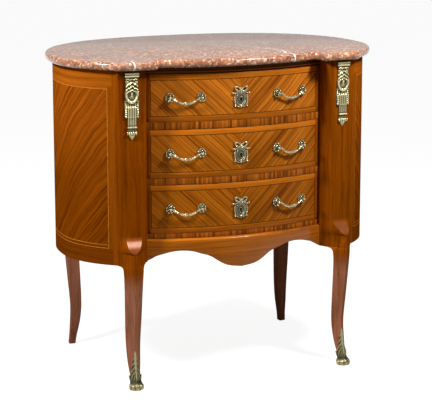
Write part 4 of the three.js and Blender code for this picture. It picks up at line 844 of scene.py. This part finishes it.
def drawer_face(number, low, height):
    bottom, top = low + GAP_BELOW, low + height - GAP_ABOVE
    hole_low, hole_high = (low + height * KEY_SHARE + rise for rise in (KEYHOLE_LOW, KEYHOLE_HIGH))
    xs = with_lines([lerp(-DRAWER_HALF + ARRIS, DRAWER_HALF - ARRIS, i / 48) for i in range(49)],
                    line_pairs(STRING_WIDTH, -STRING_X, STRING_X) + [-KEYHOLE_HALF, KEYHOLE_HALF])
    zs = with_lines([bottom + ARRIS, top - ARRIS] + [lerp(bottom, top, i / 6) for i in range(1, 6)],
                    line_pairs(STRING_WIDTH, bottom + STRING_Z, top - STRING_Z) + [hole_low, hole_high])
    rows = [(ARRIS, bottom)] + [(0, z) for z in zs] + [(ARRIS, top)]
    columns = [(-DRAWER_HALF, ARRIS)] + [(x, 0) for x in xs] + [(DRAWER_HALF, ARRIS)]
    verts = [(x, bow_y(x) + max(row_back, column_back), z) for row_back, z in rows for x, column_back in columns]
    uvs = [(x * 1.01 * MM, (z - low) * MM + 0.013 * number) for _, z in rows for x, _ in columns]
    faces, woods = [], []
    for face in grid_faces(len(rows), len(columns)):
        x, z = (verts[face[0]][0] + verts[face[1]][0]) / 2, (verts[face[0]][2] + verts[face[2]][2]) / 2
        if abs(x) >= KEYHOLE_HALF or not hole_low < z < hole_high:
            faces.append(face)
            woods.append(drawer_wood(x, z, bottom, top))
    made = make_mesh(f"drawer_{number}_veneer", verts, faces, woods, uvs=uvs, angle=50)
    place_piece(made, f"drawer_{number}", "veneer")


for number, (low, height) in DRAWERS.items():
    body = f"drawer_{number}"
    carry_over(f"{body}_front", f"{body}_front_core", wood_core, body, "veneer",
               keep=all_but_bowed_front(1.5, DRAWER_HALF))
    drawer_face(number, low, height)
    for part in ("side_right", "side_left", "back", "bottom"):
        carry_over(f"{body}_{part}", f"{body}_{part}_board", wood_lining, body, "drawer_lining")
    carry_over(f"{body}_lock", f"{body}_lock_case", steel, body, "steel")
    carry_over(f"{body}_lock_bolt", f"{body}_lock_tongue", steel, f"{body}_bolt", "steel")


# ---------------------------------------------------------------- cast ornament
def frame_matrix(origin, across, out, up=Vector((0, 0, 1))):
    """Local x across, y outwards, z up."""
    m = Matrix((across, out, up)).transposed().to_4x4()
    m.translation = origin
    return m


def polar(radius, turn):
    return radius * math.cos(turn), radius * math.sin(turn)


class Relief:
    """Gathers closed forms of one ornament: points, faces and how far each point stands out (0 to 1)."""

    def __init__(self):
        self.verts, self.faces, self.relief = [], [], []

    def add(self, verts, faces, relief):
        start = len(self.verts)
        self.verts += [tuple(v) for v in verts]
        self.faces += [tuple(start + i for i in face) for face in faces]
        self.relief += relief

    def tube(self, points, radii, sides=10, flat=1.0, high=1.0, low=0.25, closed=False, twist=0.0, lobes=0):
        """A tube in local x, y (out), z. flat squashes it in y."""
        count = len(points)
        points = [Vector(point) for point in points]
        verts, relief = [], []
        for i, point in enumerate(points):
            before = points[(i - 1) % count if closed else max(0, i - 1)]
            after = points[(i + 1) % count if closed else min(count - 1, i + 1)]
            along = (after - before).normalized()
            out = Vector((0, 1, 0))
            out = (out - along * out.dot(along)).normalized()
            side = along.cross(out)
            for turn in turns(sides):
                r = radii[i] * (1 + (0.16 * math.cos(lobes * turn + twist * i) if lobes else 0))
                verts.append(point + side * (r * math.cos(turn)) + out * (r * flat * math.sin(turn)))
                # the side that faces out takes the high tone and the side toward the wood the low one: painted light
                # and shade
                relief.append(lerp(low, high, 0.5 + 0.5 * math.sin(turn)))
        faces = [face[::-1] for face in grid_faces(count, sides, closed=True)]
        last = (count - 1) * sides
        if closed:
            faces += [(k, (k + 1) % sides, last + (k + 1) % sides, last + k) for k in range(sides)]
        else:
            faces += [tuple(range(sides)), tuple(reversed(range(last, last + sides)))]
        self.add(verts, faces, relief)

    def ball(self, centre, radius, flat=1.0, tall=1.0):
        rings, sides, high, low = 6, 10, 1.0, 0.2
        cx, cy, cz = centre
        verts, relief = [(cx, cy, cz - radius * tall)], [low]
        for tilt in (math.pi * (i / rings - 0.5) for i in range(1, rings)):
            for turn in turns(sides):
                x, out = polar(math.cos(tilt), turn)
                verts.append((cx + radius * x, cy + radius * flat * out, cz + radius * tall * math.sin(tilt)))
                # the side that faces out takes the high tone: painted light and shade
                relief.append(lerp(low, high, max(0.0, out)))
        verts.append((cx, cy, cz + radius * tall))
        relief.append(high)
        faces = [(0, 1 + (k + 1) % sides, 1 + k) for k in range(sides)]
        faces += [tuple(1 + i for i in face) for face in grid_faces(rings - 1, sides, closed=True)]
        last, top = len(verts) - 1, 1 + (rings - 2) * sides
        faces += [(last, top + k, top + (k + 1) % sides) for k in range(sides)]
        self.add(verts, faces, relief)

    def finish(self, name, matrix, material, body, *nodes, mirrored=False, angle=45):
        verts = [tuple(matrix @ Vector(v)) for v in self.verts]
        if mirrored:
            verts = [(-x, y, z) for x, y, z in verts]
        made = make_mesh(name, verts, self.faces, material, relief=self.relief, angle=angle)
        b = bmesh.new()
        b.from_mesh(made.data)
        bmesh.ops.recalc_face_normals(b, faces=b.faces)
        b.to_mesh(made.data)
        b.free()
        place_piece(made, body, "bronze", *nodes)


def height_field(width, length, columns, rows, height, half_width):
    """A relief standing on the plane y = 0, from z = 0 down to -length. Its tone follows how far each point
    stands out over its neighbours."""
    verts, relief, heights = [], [], []
    across = columns + 1
    for i in range(rows + 1):
        z = -length * i / rows
        half = max(0.05, half_width(-z))
        for j in range(across):
            u = 2 * j / columns - 1
            h = height(u * half, -z, u)
            edge = 0.35 if abs(u) > 0.999 or i in (0, rows) else 1.0
            verts.append((u * half, h * edge, z))
            heights.append(h)
    near = (-6, -3, 0, 3, 6)
    for i in range(rows + 1):
        for j in range(across):
            around = [heights[min(rows, max(0, i + a)) * across + min(columns, max(0, j + b))]
                      for a in near for b in near]
            stand = heights[i * across + j] - sum(around) / len(around)
            relief.append(min(1.0, max(0.0, 0.52 + stand / width * 3.0)))
    front = [(a, d, c, b) for a, b, c, d in grid_faces(rows + 1, across)]
    loop = list(range(across)) + [i * across + columns for i in range(1, rows + 1)]
    loop += [rows * across + j for j in range(columns - 1, -1, -1)] + [i * across for i in range(rows - 1, 0, -1)]
    count = len(verts)
    back = [(verts[k][0], 0.0, verts[k][2]) for k in loop]
    skirt = [(loop[k], loop[(k + 1) % len(loop)], count + (k + 1) % len(loop), count + k) for k in range(len(loop))]
    return verts + back, front + skirt, relief + [0.1] * len(back)


# ---------------------------------------------------------------- chutes
CHUTE_WIDTHS = [(0, 1), (11.2, 1), (11.7, 0.84), (30, 0.84), (48, 0.90), (54, 1.0), (66, 0.94), (70, 0.84), (72, 1.0),
                (114.5, 1.0), (115.5, 0.58), (136, 0.58), (137, 0.66), (141, 0.66), (142, 0.56), (149, 0.56),
                (150.5, 0.70), (158.5, 0.68), (160.5, 0.46), (165, 0.28), (169, 0.13), (172, 0.02)]
# where the edges of the post's chamfer lie at the knee, for the lean of the chute
CHUTE_KNEE = ((268.5, -253.5), (321, -248.5))
FLUTE_PITCH = 6.2


def chute_half_width(d):
    return CHUTE_HALF * table(CHUTE_WIDTHS, d)


def canopy_height(ax, d):
    """Overlapping leaves that curl over, with a midrib."""
    dome = 5.0 * math.cos(min(1.0, ax / 17.0) * 1.25) * smooth(d, 11.5, 17) * (1 - 0.35 * smooth(d, 48, 60))
    rows = 0.0
    for centre, tilt in ((17, -0.15), (24, 0.66), (34, 0.62), (43, 0.5)):
        along = d - centre - ax * tilt + 1.2 * math.sin(ax * 0.8)
        rows += 2.3 * hill(along, 0, 2.2) - 2.0 * hill(along, 4.6, 2.0)
    leaves = dome + rows * (1 - 0.3 * smooth(ax, 12, 16)) - 1.8 * hill(ax, 0, 1.0)
    hollow = math.exp(-(((ax - 6.0) / 3.4) ** 2 + ((d - 56) / 6.0) ** 2) * 1.2)
    return max(0.9, 2.6 + leaves - 9.5 * hollow)


def rope_height(x, d):
    """The garland hangs from the two curls in a deep bow."""
    if not 46 < d < 84:
        return 0.0
    ring = math.hypot(x / 15.2, (d - 50) / 25)
    distance = abs(ring - 1) * lerp(14.0, 25.0, min(1.0, abs(d - 50) / 25))
    half = lerp(2.6, 4.6, min(1.0, max(0.0, d - 50) / 25))
    return bump(distance, 0, half) * (4.9 + 0.5 * math.sin(x * 1.7))


def chute_height(x, d, u):
    """How far the chute stands out at x across and d below its top."""
    ax = abs(x)
    if d < 11.2:
        return 8.6 if d < 4.6 else (6.4 if d < 6.4 else 7.6 * (1 - 0.12 * smooth(d, 8, 11)))
    flute = 0.5 + 0.5 * math.cos(x * TAU / FLUTE_PITCH + math.pi)
    rope = rope_height(x, d)
    h = canopy_height(ax, d) if d < 62 else 3.2
    if 46 < d < 84:
        h = max(h, 2.4 + rope)
    if 74 < d < 115:
        if ax < 11.2:
            h = max(h, 3.4 + 1.4 * flute + 1.0 * smooth(d, 74, 78))
        else:
            pitch = 5.4
            beads = max(0.0, 1 - ((ax - 15.0) / 3.2) ** 2 - (((d - 76) % pitch - pitch / 2) / (pitch * 0.52)) ** 2)
            h = max(2.9, 2.9 + 3.0 * beads ** 0.5)
        if rope < 1.5:
            h -= 3.4 * (1 - smooth(d, 83, 89))
    elif 115 <= d < 136.5:
        h = 3.4 + 1.3 * flute
    elif 136.5 <= d < 141.5:
        h = 6.6 * bump(d, 139, 2.9) + 0.6
    elif 141.5 <= d < 149.5:
        h = 2.2 + 0.5 * math.cos(x * 1.4)
    elif 149.5 <= d < 159:
        beads = max(0.0, 1 - (((x + 24) % 5.6 - 2.8) / 3.0) ** 2 - ((d - 154.4) / 4.8) ** 2)
        h = 3.0 + 4.0 * beads ** 0.5
    elif d >= 159:
        h = 1.2 + 4.6 * (1 - (d - 159) / 13.5) * bump(u, 0, 1)
    return max(0.8, h)


def chute_matrix():
    """Flat on the post's chamfer, upright along its taper."""
    def corners(z):
        share = (BODY_TOP - z) / (BODY_TOP - POST_TAPER_LOW)
        return [Vector((*between(top, knee, share), z)) for (top, _), knee in zip(POST_POINTS[1:], CHUTE_KNEE)]
    upper_in, upper_out = corners(CHUTE_TOP)
    lower_in, lower_out = corners(CHUTE_TOP - CHUTE_LENGTH)
    upper = (upper_in + upper_out) / 2
    up = (upper - (lower_in + lower_out) / 2).normalized()
    out = up.cross(upper_out - upper_in).normalized()
    out = -out if out.y > 0 else out
    across = up.cross(out).normalized()
    return frame_matrix(upper + out * 0.3, -across if across.x < 0 else across, out, up)


for side, sign in SIDES:
    relief = Relief()
    relief.add(*height_field(8.0, CHUTE_LENGTH, 54, 240, chute_height, chute_half_width))
    for s in (-1, 1):
        # curls at the sides of the canopy, which carry the garland
        curl = []
        for share in (k / 14 for k in range(15)):
            x, z = polar(3.9 * (1 - 0.62 * share), 0.6 + TAU * 0.78 * share)
            curl.append((s * (13.2 + x), 4.4, -(50.5 - z)))
        relief.tube(curl, [1.7 * (1 - 0.35 * k / 14) for k in range(15)], sides=8)
    relief.finish(f"chute_{side}_cast", chute_matrix(), bronze, "case", f"chute_{side}", mirrored=(sign < 0), angle=60)

# ---------------------------------------------------------------- keyhole plates
PLATE_HALF_WIDTH, PLATE_HALF_HEIGHT, PLATE_SIDES = 14.4, 19.8, 40
# share of the way from the hole to the rim, how far out, and tone
PLATE_PROFILE = [(0.0, 0.3, 0.0), (0.0, 2.4, 0.0), (0.05, 2.9, 0.7), (0.12, 2.8, 0.6), (0.2, 1.8, 0.1),
                 (0.44, 1.7, 0.35), (0.50, 1.8, 0.1), (0.56, 3.4, 0.9), (0.63, 3.7, 1.0), (0.68, 2.4, 0.2),
                 (0.73, 2.2, 0.0), (0.79, 4.2, 0.8), (0.88, 4.8, 1.0), (0.96, 3.9, 0.8), (1.0, 2.2, 0.2),
                 (1.0, 0.2, 0.0)]
RIBBON_END = [(1.5, 3.6, 21.6), (7.5, 4.2, 19.0), (13.5, 3.4, 15.6), (18.5, 3.4, 14.4), (22.0, 3.8, 15.6),
              (24.0, 3.0, 15.4)]
HUSKS = [(15.6, 3.0, 11.0), (17.2, 3.0, 3.0), (17.0, 3.0, -6.0), (15.2, 3.0, -14.0), (17.2, 2.4, -18.6)]
LEAF = [(14.0, 2.6, -15.5), (9.5, 2.8, -19.5), (4.0, 2.4, -21.6)]


def keyhole_plate():
    r = Relief()
    verts, shown = [], []
    for share, out, tone in PLATE_PROFILE:
        for turn in turns(PLATE_SIDES):
            dx, dz = math.sin(turn), math.cos(turn)
            reach = min(8.4, 2.0 / max(0.16, abs(dx))) if dz < -0.75 else 3.5
            lift = 0.35 * math.cos(turn * 20) if 0.78 < share < 0.97 else 0
            verts.append((lerp(reach * dx, PLATE_HALF_WIDTH * dx, share), out + lift,
                          lerp(reach * dz, PLATE_HALF_HEIGHT * dz, share)))
            shown.append(tone)
    r.add(verts, grid_faces(len(PLATE_PROFILE), PLATE_SIDES, closed=True), shown)
    for s in (-1, 1):
        # a loop of the bow with its pointed folds, its end, and the husks and leaf down that side of the oval
        def curve(points, steps):
            return spline([Vector((s * x, y, z)) for x, y, z in points], steps)

        loop, (level, rise) = [], polar(1, s * 0.55)
        for turn in turns(24):
            x, z = 8.0 * math.cos(turn), 4.6 * math.sin(turn)
            loop.append((s * 9.4 + x * level - z * rise, 3.4, 25.8 + x * rise + z * level))
        r.tube(loop, [2.2 + 0.6 * math.sin(3 * turn) for turn in turns(24)], sides=8, closed=True, flat=1.1)
        end = curve(RIBBON_END, 4)
        widths = [(0, 1.5), (8, 2.0), (14, 1.6), (17, 2.5), (20, 1.7)]
        r.tube(end, [table(widths, k) for k in range(len(end))], sides=8)
        chain = curve(HUSKS, 6)
        r.tube(chain, [1.9 + 0.8 * math.sin(k * 1.45) for k in range(len(chain))], sides=8)
        r.ball((s * 16.0, 2.2, -16.6), 3.0, flat=0.8, tall=1.2)
        leaf = curve(LEAF, 5)
        r.tube(leaf, [1.3 + 0.4 * math.sin(k * 1.9) for k in range(len(leaf))], sides=7)
    # the knot, and a bud above it and at the foot
    r.ball((0, 3.8, 22.0), 3.4, flat=0.95)
    r.ball((0, 3.2, 27.2), 2.0, flat=0.9, tall=1.4)
    r.ball((0, 2.6, -20.6), 2.6, flat=0.9, tall=1.3)
    return r


for number, (low, height) in DRAWERS.items():
    place = Vector((0, BOW_CENTRE_Y - 0.3, low + height * KEY_SHARE))
    keyhole_plate().finish(f"drawer_{number}_keyhole_plate", frame_matrix(place, Vector((1, 0, 0)), Vector((0, -1, 0))),
                           bronze_plate, f"drawer_{number}", f"drawer_{number}_escutcheon", angle=50)

# ---------------------------------------------------------------- rosettes with their studs and nuts
PETALS = 12.0
ROSETTE_SIDES, STUD_SIDES = 64, 20
ROSETTE_PROFILE = [(0.0, 5.9, 1.0), (0.10, 5.8, 0.9), (0.2, 5.2, 0.5), (0.25, 4.0, 0.1), (0.34, 3.0, 0.0),
                   (0.42, 4.6, 0.7), (0.50, 5.1, 1.0), (0.57, 4.2, 0.4), (0.62, 2.6, 0.0), (0.70, 4.0, 0.6),
                   (0.82, 4.8, 0.95), (0.93, 4.5, 0.85), (1.0, 3.0, 0.35), (1.0, 0.3, 0.1)]
# nut, shank and head: radius, how far out, and tone
STUD_PROFILE = [(0.05, -26.1, 0.3), (5.2, -26.1, 0.4), (5.5, -25.6, 0.5), (5.5, -23.6, 0.5), (5.2, -23.1, 0.4),
                (2.2, -23.1, 0.2), (2.2, 3.0, 0.1), (2.2, 9.0, 0.1), (3.0, 9.8, 0.2), (4.2, 11.2, 0.35),
                (4.4, 13.0, 0.5), (4.1, 14.9, 0.4), (2.9, 16.6, 0.7), (1.2, 17.3, 1.0), (0.05, 17.4, 1.0)]


def rosette():
    """A flower of eight petals with a small crest at the top, in one piece with its stud."""
    r = Relief()
    verts, shown = [], []
    for share, out, tone in ROSETTE_PROFILE:
        for turn in turns(ROSETTE_SIDES):
            notch = abs(math.sin(4 * turn + math.pi / 2))
            up = math.atan2(math.sin(turn - math.pi / 2), math.cos(turn - math.pi / 2))
            outer = PETALS - 1.1 * notch ** 4 + 2.4 * hill(up, 0, 0.42)
            groove = notch ** 5 if 0.65 < share < 0.97 else 0
            ring = 0.35 * math.cos(12 * turn) if 0.4 < share < 0.55 else 0
            x, z = polar(share * (outer if share > 0.5 else lerp(PETALS, outer, share)), turn)
            verts.append((x, out - 1.7 * groove + ring, z))
            shown.append(max(0.0, tone - 0.8 * groove))
    r.add(verts, turned_over(grid_faces(len(ROSETTE_PROFILE), ROSETTE_SIDES, closed=True)), shown)
    verts, shown = [], []
    for radius, out, tone in STUD_PROFILE:
        for x, z in (polar(radius, turn) for turn in turns(STUD_SIDES)):
            verts.append((x, out, z))
            shown.append(tone)
    faces = turned_over(grid_faces(len(STUD_PROFILE), STUD_SIDES, closed=True))
    faces += [tuple(range(STUD_SIDES)), tuple(reversed(range(len(verts) - STUD_SIDES, len(verts))))]
    r.add(verts, faces, shown)
    return r


for number, (low, height) in DRAWERS.items():
    for x, where in zip(ROSETTE_XS, ("inner", "outer")):
        matrix = frame_matrix(Vector((x, bow_y(x), low + height * ROSETTE_SHARE)), *bow_ways(x))
        for side, sign in SIDES:
            node = f"drawer_{number}_rosette_{where}_{side}"
            rosette().finish(f"{node}_cast", matrix, bronze_handle, f"drawer_{number}", node, mirrored=(sign < 0))


# ---------------------------------------------------------------- swinging handles
def pivot(x):
    return Vector((x, bow_y(x), 0)) + bow_ways(x)[1] * PIVOT_REACH


PIVOTS = [pivot(x) for x in ROSETTE_XS]
PIVOT_MIDDLE = (PIVOTS[0] + PIVOTS[1]) / 2
HALF_SPAN = (PIVOTS[1] - PIVOTS[0]).length / 2
# share of the half span, share of the drop, share of the greatest radius
SWAG_SHARES = [(0, 1, 1), (0.08, 0.99, 0.92), (0.13, 0.98, 0.5), (0.17, 0.965, 0.62), (0.22, 0.95, 0.72),
               (0.34, 0.85, 0.52), (0.5, 0.66, 0.47), (0.65, 0.4, 0.54), (0.73, 0.22, 0.62), (0.8, 0.09, 0.7),
               (0.87, 0.0, 0.36)]
SWAG_DROP, SWAG_RADIUS = 14.5, 4.8


def swag():
    """Local x along the pins, y outwards, z up, from the middle of the pin line."""
    r = Relief()
    shares = [k / 60 * 0.87 for k in range(61)]
    drops = [-table([(a, b) for a, b, _ in SWAG_SHARES], share) * SWAG_DROP for share in shares]
    windows = [drops[max(0, k - 3):k + 4] for k in range(len(drops))]
    eased = [sum(window) / len(window) for window in windows]
    right = []
    for share, z in zip(shares, eased):
        x = share * HALF_SPAN
        lump = 1 + 0.10 * math.sin(x * 1.15) if x > 7 else 1
        right.append((x, z, table([(a, c) for a, _, c in SWAG_SHARES], share) * SWAG_RADIUS * lump))
    right += [(HALF_SPAN - 3.4, 0.0, 1.6), (HALF_SPAN + 3.0, 0.0, 1.6)]
    stations = [(-x, z, radius) for x, z, radius in reversed(right[1:])] + right
    r.tube([(x, 0.0, z) for x, z, _ in stations], [radius for _, _, radius in stations], sides=16, lobes=5, twist=0.16,
           low=0.35)
    for s in (-1, 1):
        for x in (6.2, 8.3):
            drop = table([(share * HALF_SPAN, z) for share, z in zip(shares, eased)], x)
            ring = [(s * x, 2.9 * math.sin(turn), drop + 2.9 * math.cos(turn)) for turn in turns(16)]
            r.tube(ring, [0.9] * 16, sides=6, closed=True, low=0.7)
    return r


for number, (low, height) in DRAWERS.items():
    across = (PIVOTS[1] - PIVOTS[0]).normalized()
    place = PIVOT_MIDDLE + Vector((0, 0, low + height * ROSETTE_SHARE))
    for side, sign in SIDES:
        swag().finish(f"drawer_{number}_swag_{side}", frame_matrix(place, across, Vector((across.y, -across.x, 0))),
                      bronze_handle, f"drawer_{number}_handle_{side}", f"drawer_{number}_bail_{side}",
                      mirrored=(sign < 0))

# ---------------------------------------------------------------- sabots
# the round foot, without its lobes
SABOT_RADIUS = 15.3
SABOT_COLUMNS, SABOT_ROWS = 72, 34


def sabot_rim(turn):
    """Height of the shoe's edge: a leaf that climbs the front arris, with toothed sides, and a scalloped shoe."""
    along = math.cos(turn)
    share = min(1.0, abs(math.atan2(math.sin(turn), along)) / (math.pi / 2))
    leaf = 34 + 67 * (1 - share) ** 1.5
    teeth = 3.6 * math.sin(share * 26) * (1 - share) ** 0.4 * share ** 0.3
    return leaf + teeth - 8 * max(0.0, -along) + 1.6 * math.cos(turn * 8) * share


def sabot_point(turn, z, growth, roundness, bulge=0.0):
    """A point on the leg's diamond section grown outwards, which turns to a round foot below."""
    station = leg_at(max(z, LEG_FOOT))
    along, across = math.cos(turn), math.sin(turn)
    diamond = (station.y + growth * math.sqrt(2)) / (abs(along) + abs(across))
    radius = lerp(diamond, SABOT_RADIUS, roundness) + bulge
    p = ANKLE + LEG_DIRECTION * (station.x + 4.2 * roundness + radius * along)
    p += LEG_ACROSS * (radius * across * (1 + 0.16 * roundness))
    return (p.x, p.y, z)


def sabot_bulge(turn, z):
    """Lobes of the foot, a neck above it, flutes, and a leaf with a midrib and slanted veins."""
    around = min(turn, TAU - turn)
    lobes = 1.7 * bump(z, 7.5, 8.0) * (0.1 + 0.9 * (0.5 + 0.5 * math.cos(9 * turn)))
    flutes = 0.75 * math.cos(16 * turn) * smooth(z, 22, 27) * (1 - smooth(z, 46, 56))
    rib = 1.3 * max(0.0, math.cos(turn)) ** 60 * smooth(z, 24, 40)
    veins = math.sin(around * 9 + z * 0.55) * smooth(z, 26, 36) * smooth(around, 0.08, 0.3)
    return lobes - 0.6 * bump(z, 19, 5) + flutes + rib + veins


def sabot():
    r = Relief()
    verts, tones = [], []
    for i in range(SABOT_ROWS + 1):
        share = i / SABOT_ROWS
        growth = 2.0 * (1 - smooth(share, 0.96, 1.0) * 0.75)
        for turn in turns(SABOT_COLUMNS):
            z = share ** 0.9 * sabot_rim(turn)
            bulge = sabot_bulge(turn, z)
            roundness = (1 - smooth(z, 9, 24)) * (1.0 if i else 0.92)
            verts.append(sabot_point(turn, z, growth, roundness, bulge if i else 0.0))
            tones.append(min(1.0, max(0.0, 0.36 + bulge * 0.5)))
    verts += [sabot_point(turn, sabot_rim(turn), 0.3, 0.0) for turn in turns(SABOT_COLUMNS)]
    tones += [0.3] * SABOT_COLUMNS
    faces = grid_faces(SABOT_ROWS + 2, SABOT_COLUMNS, closed=True) + [tuple(reversed(range(SABOT_COLUMNS)))]
    r.add(verts, faces, tones)
    return r


for side, sign in SIDES:
    sabot().finish(f"sabot_{side}_cast", Matrix.Identity(4), bronze_foot, "case", f"sabot_{side}",
                   mirrored=(sign < 0), angle=60)

# ---------------------------------------------------------------- floor, light and camera
FLOOR_REACH = 14.0
WHITE = (1, 1, 1, 1)


def floor_material():
    """To the camera and in reflections the floor is white, but for a faint shadow."""
    g = Graph("pale_floor")
    g.shade({"Base Color": (0.32, 0.32, 0.32, 1), "Roughness": 0.9, "Specular IOR Level": 0.1})
    rays = g.node("LightPath").outputs
    shown = g.math("MAXIMUM", rays["Is Camera Ray"],
                   g.math("MAXIMUM", rays["Is Glossy Ray"], rays["Is Transmission Ray"]))
    glow = g.node("Emission", {"Color": WHITE, "Strength": g.math("MULTIPLY", shown, 0.9)})
    both = g.node("AddShader", {0: g.shader.outputs[0], 1: glow.outputs[0]})
    g.feed(g.tree.nodes["Material Output"], {"Surface": both.outputs[0]})
    return g.material


mesh = bpy.data.meshes.new("floor")
mesh.from_pydata([(x * FLOOR_REACH, y * FLOOR_REACH, 0) for x, y in ((-1, -1), (1, -1), (1, 1), (-1, 1))], [],
                 [(0, 1, 2, 3)])
mesh.materials.append(floor_material())
add_object("floor", mesh)

world = bpy.data.worlds.new("studio")
bpy.context.scene.world = world
world.use_nodes = True
nodes, links = world.node_tree.nodes, world.node_tree.links
rays = nodes.new("ShaderNodeLightPath").outputs
nodes["Background"].inputs["Color"].default_value = WHITE
nodes["Background"].inputs["Strength"].default_value = 0.12
light = nodes["Background"].outputs[0]
for ray, strength in (("Is Glossy Ray", 0.5), ("Is Camera Ray", 1.0)):
    seen, choice = nodes.new("ShaderNodeBackground"), nodes.new("ShaderNodeMixShader")
    seen.inputs["Color"].default_value = WHITE
    seen.inputs["Strength"].default_value = strength
    links.new(rays[ray], choice.inputs[0])
    links.new(light, choice.inputs[1])
    links.new(seen.outputs[0], choice.inputs[2])
    light = choice.outputs[0]
links.new(light, nodes["World Output"].inputs["Surface"])


def lamp(name, azimuth, elevation, distance, width, height, power, target):
    """An area lamp. Azimuth 0 is in front and grows to the right."""
    data = bpy.data.lights.new(name, "AREA")
    data.shape = "RECTANGLE"
    data.size, data.size_y, data.energy = width, height, power
    a, e = math.radians(azimuth), math.radians(elevation)
    way = Vector((math.sin(a) * math.cos(e), -math.cos(a) * math.cos(e), math.sin(e)))
    made = add_object(name, data)
    made.location = Vector(target) + way * distance
    made.rotation_euler = (-way).to_track_quat("-Z", "Y").to_euler()


lamp("key", 35, 44, 1.4, 0.26, 0.26, 23, (0.02, -0.2, 0.75))
lamp("left", -72, 40, 2.0, 0.3, 0.3, 45, (-0.3, -0.1, 0.65))
lamp("top", -20, 80, 2.6, 1.4, 1.1, 12, (0, 0, 0.8))

IMAGE_WIDTH = 432
CAMERA_AZIMUTH, CAMERA_PITCH = 0.3865223, 0.2037722
CAMERA_PLACE = (-1.75507, -4.43767, 1.41074)
camera_data = bpy.data.cameras.new("camera")
camera_data.lens = 147.80
camera_data.sensor_width = 36
camera_data.sensor_fit = "HORIZONTAL"
camera_data.shift_x = -4.958 / IMAGE_WIDTH
camera_data.shift_y = -3.315 / IMAGE_WIDTH
camera_data.clip_end = 60
camera = add_object("camera", camera_data)
camera.location = CAMERA_PLACE
level = math.cos(CAMERA_PITCH)
look = Vector((math.sin(CAMERA_AZIMUTH) * level, math.cos(CAMERA_AZIMUTH) * level, -math.sin(CAMERA_PITCH)))
camera.rotation_euler = look.to_track_quat("-Z", "Y").to_euler()
bpy.context.scene.camera = camera

bpy.context.scene.view_settings.view_transform = "Standard"
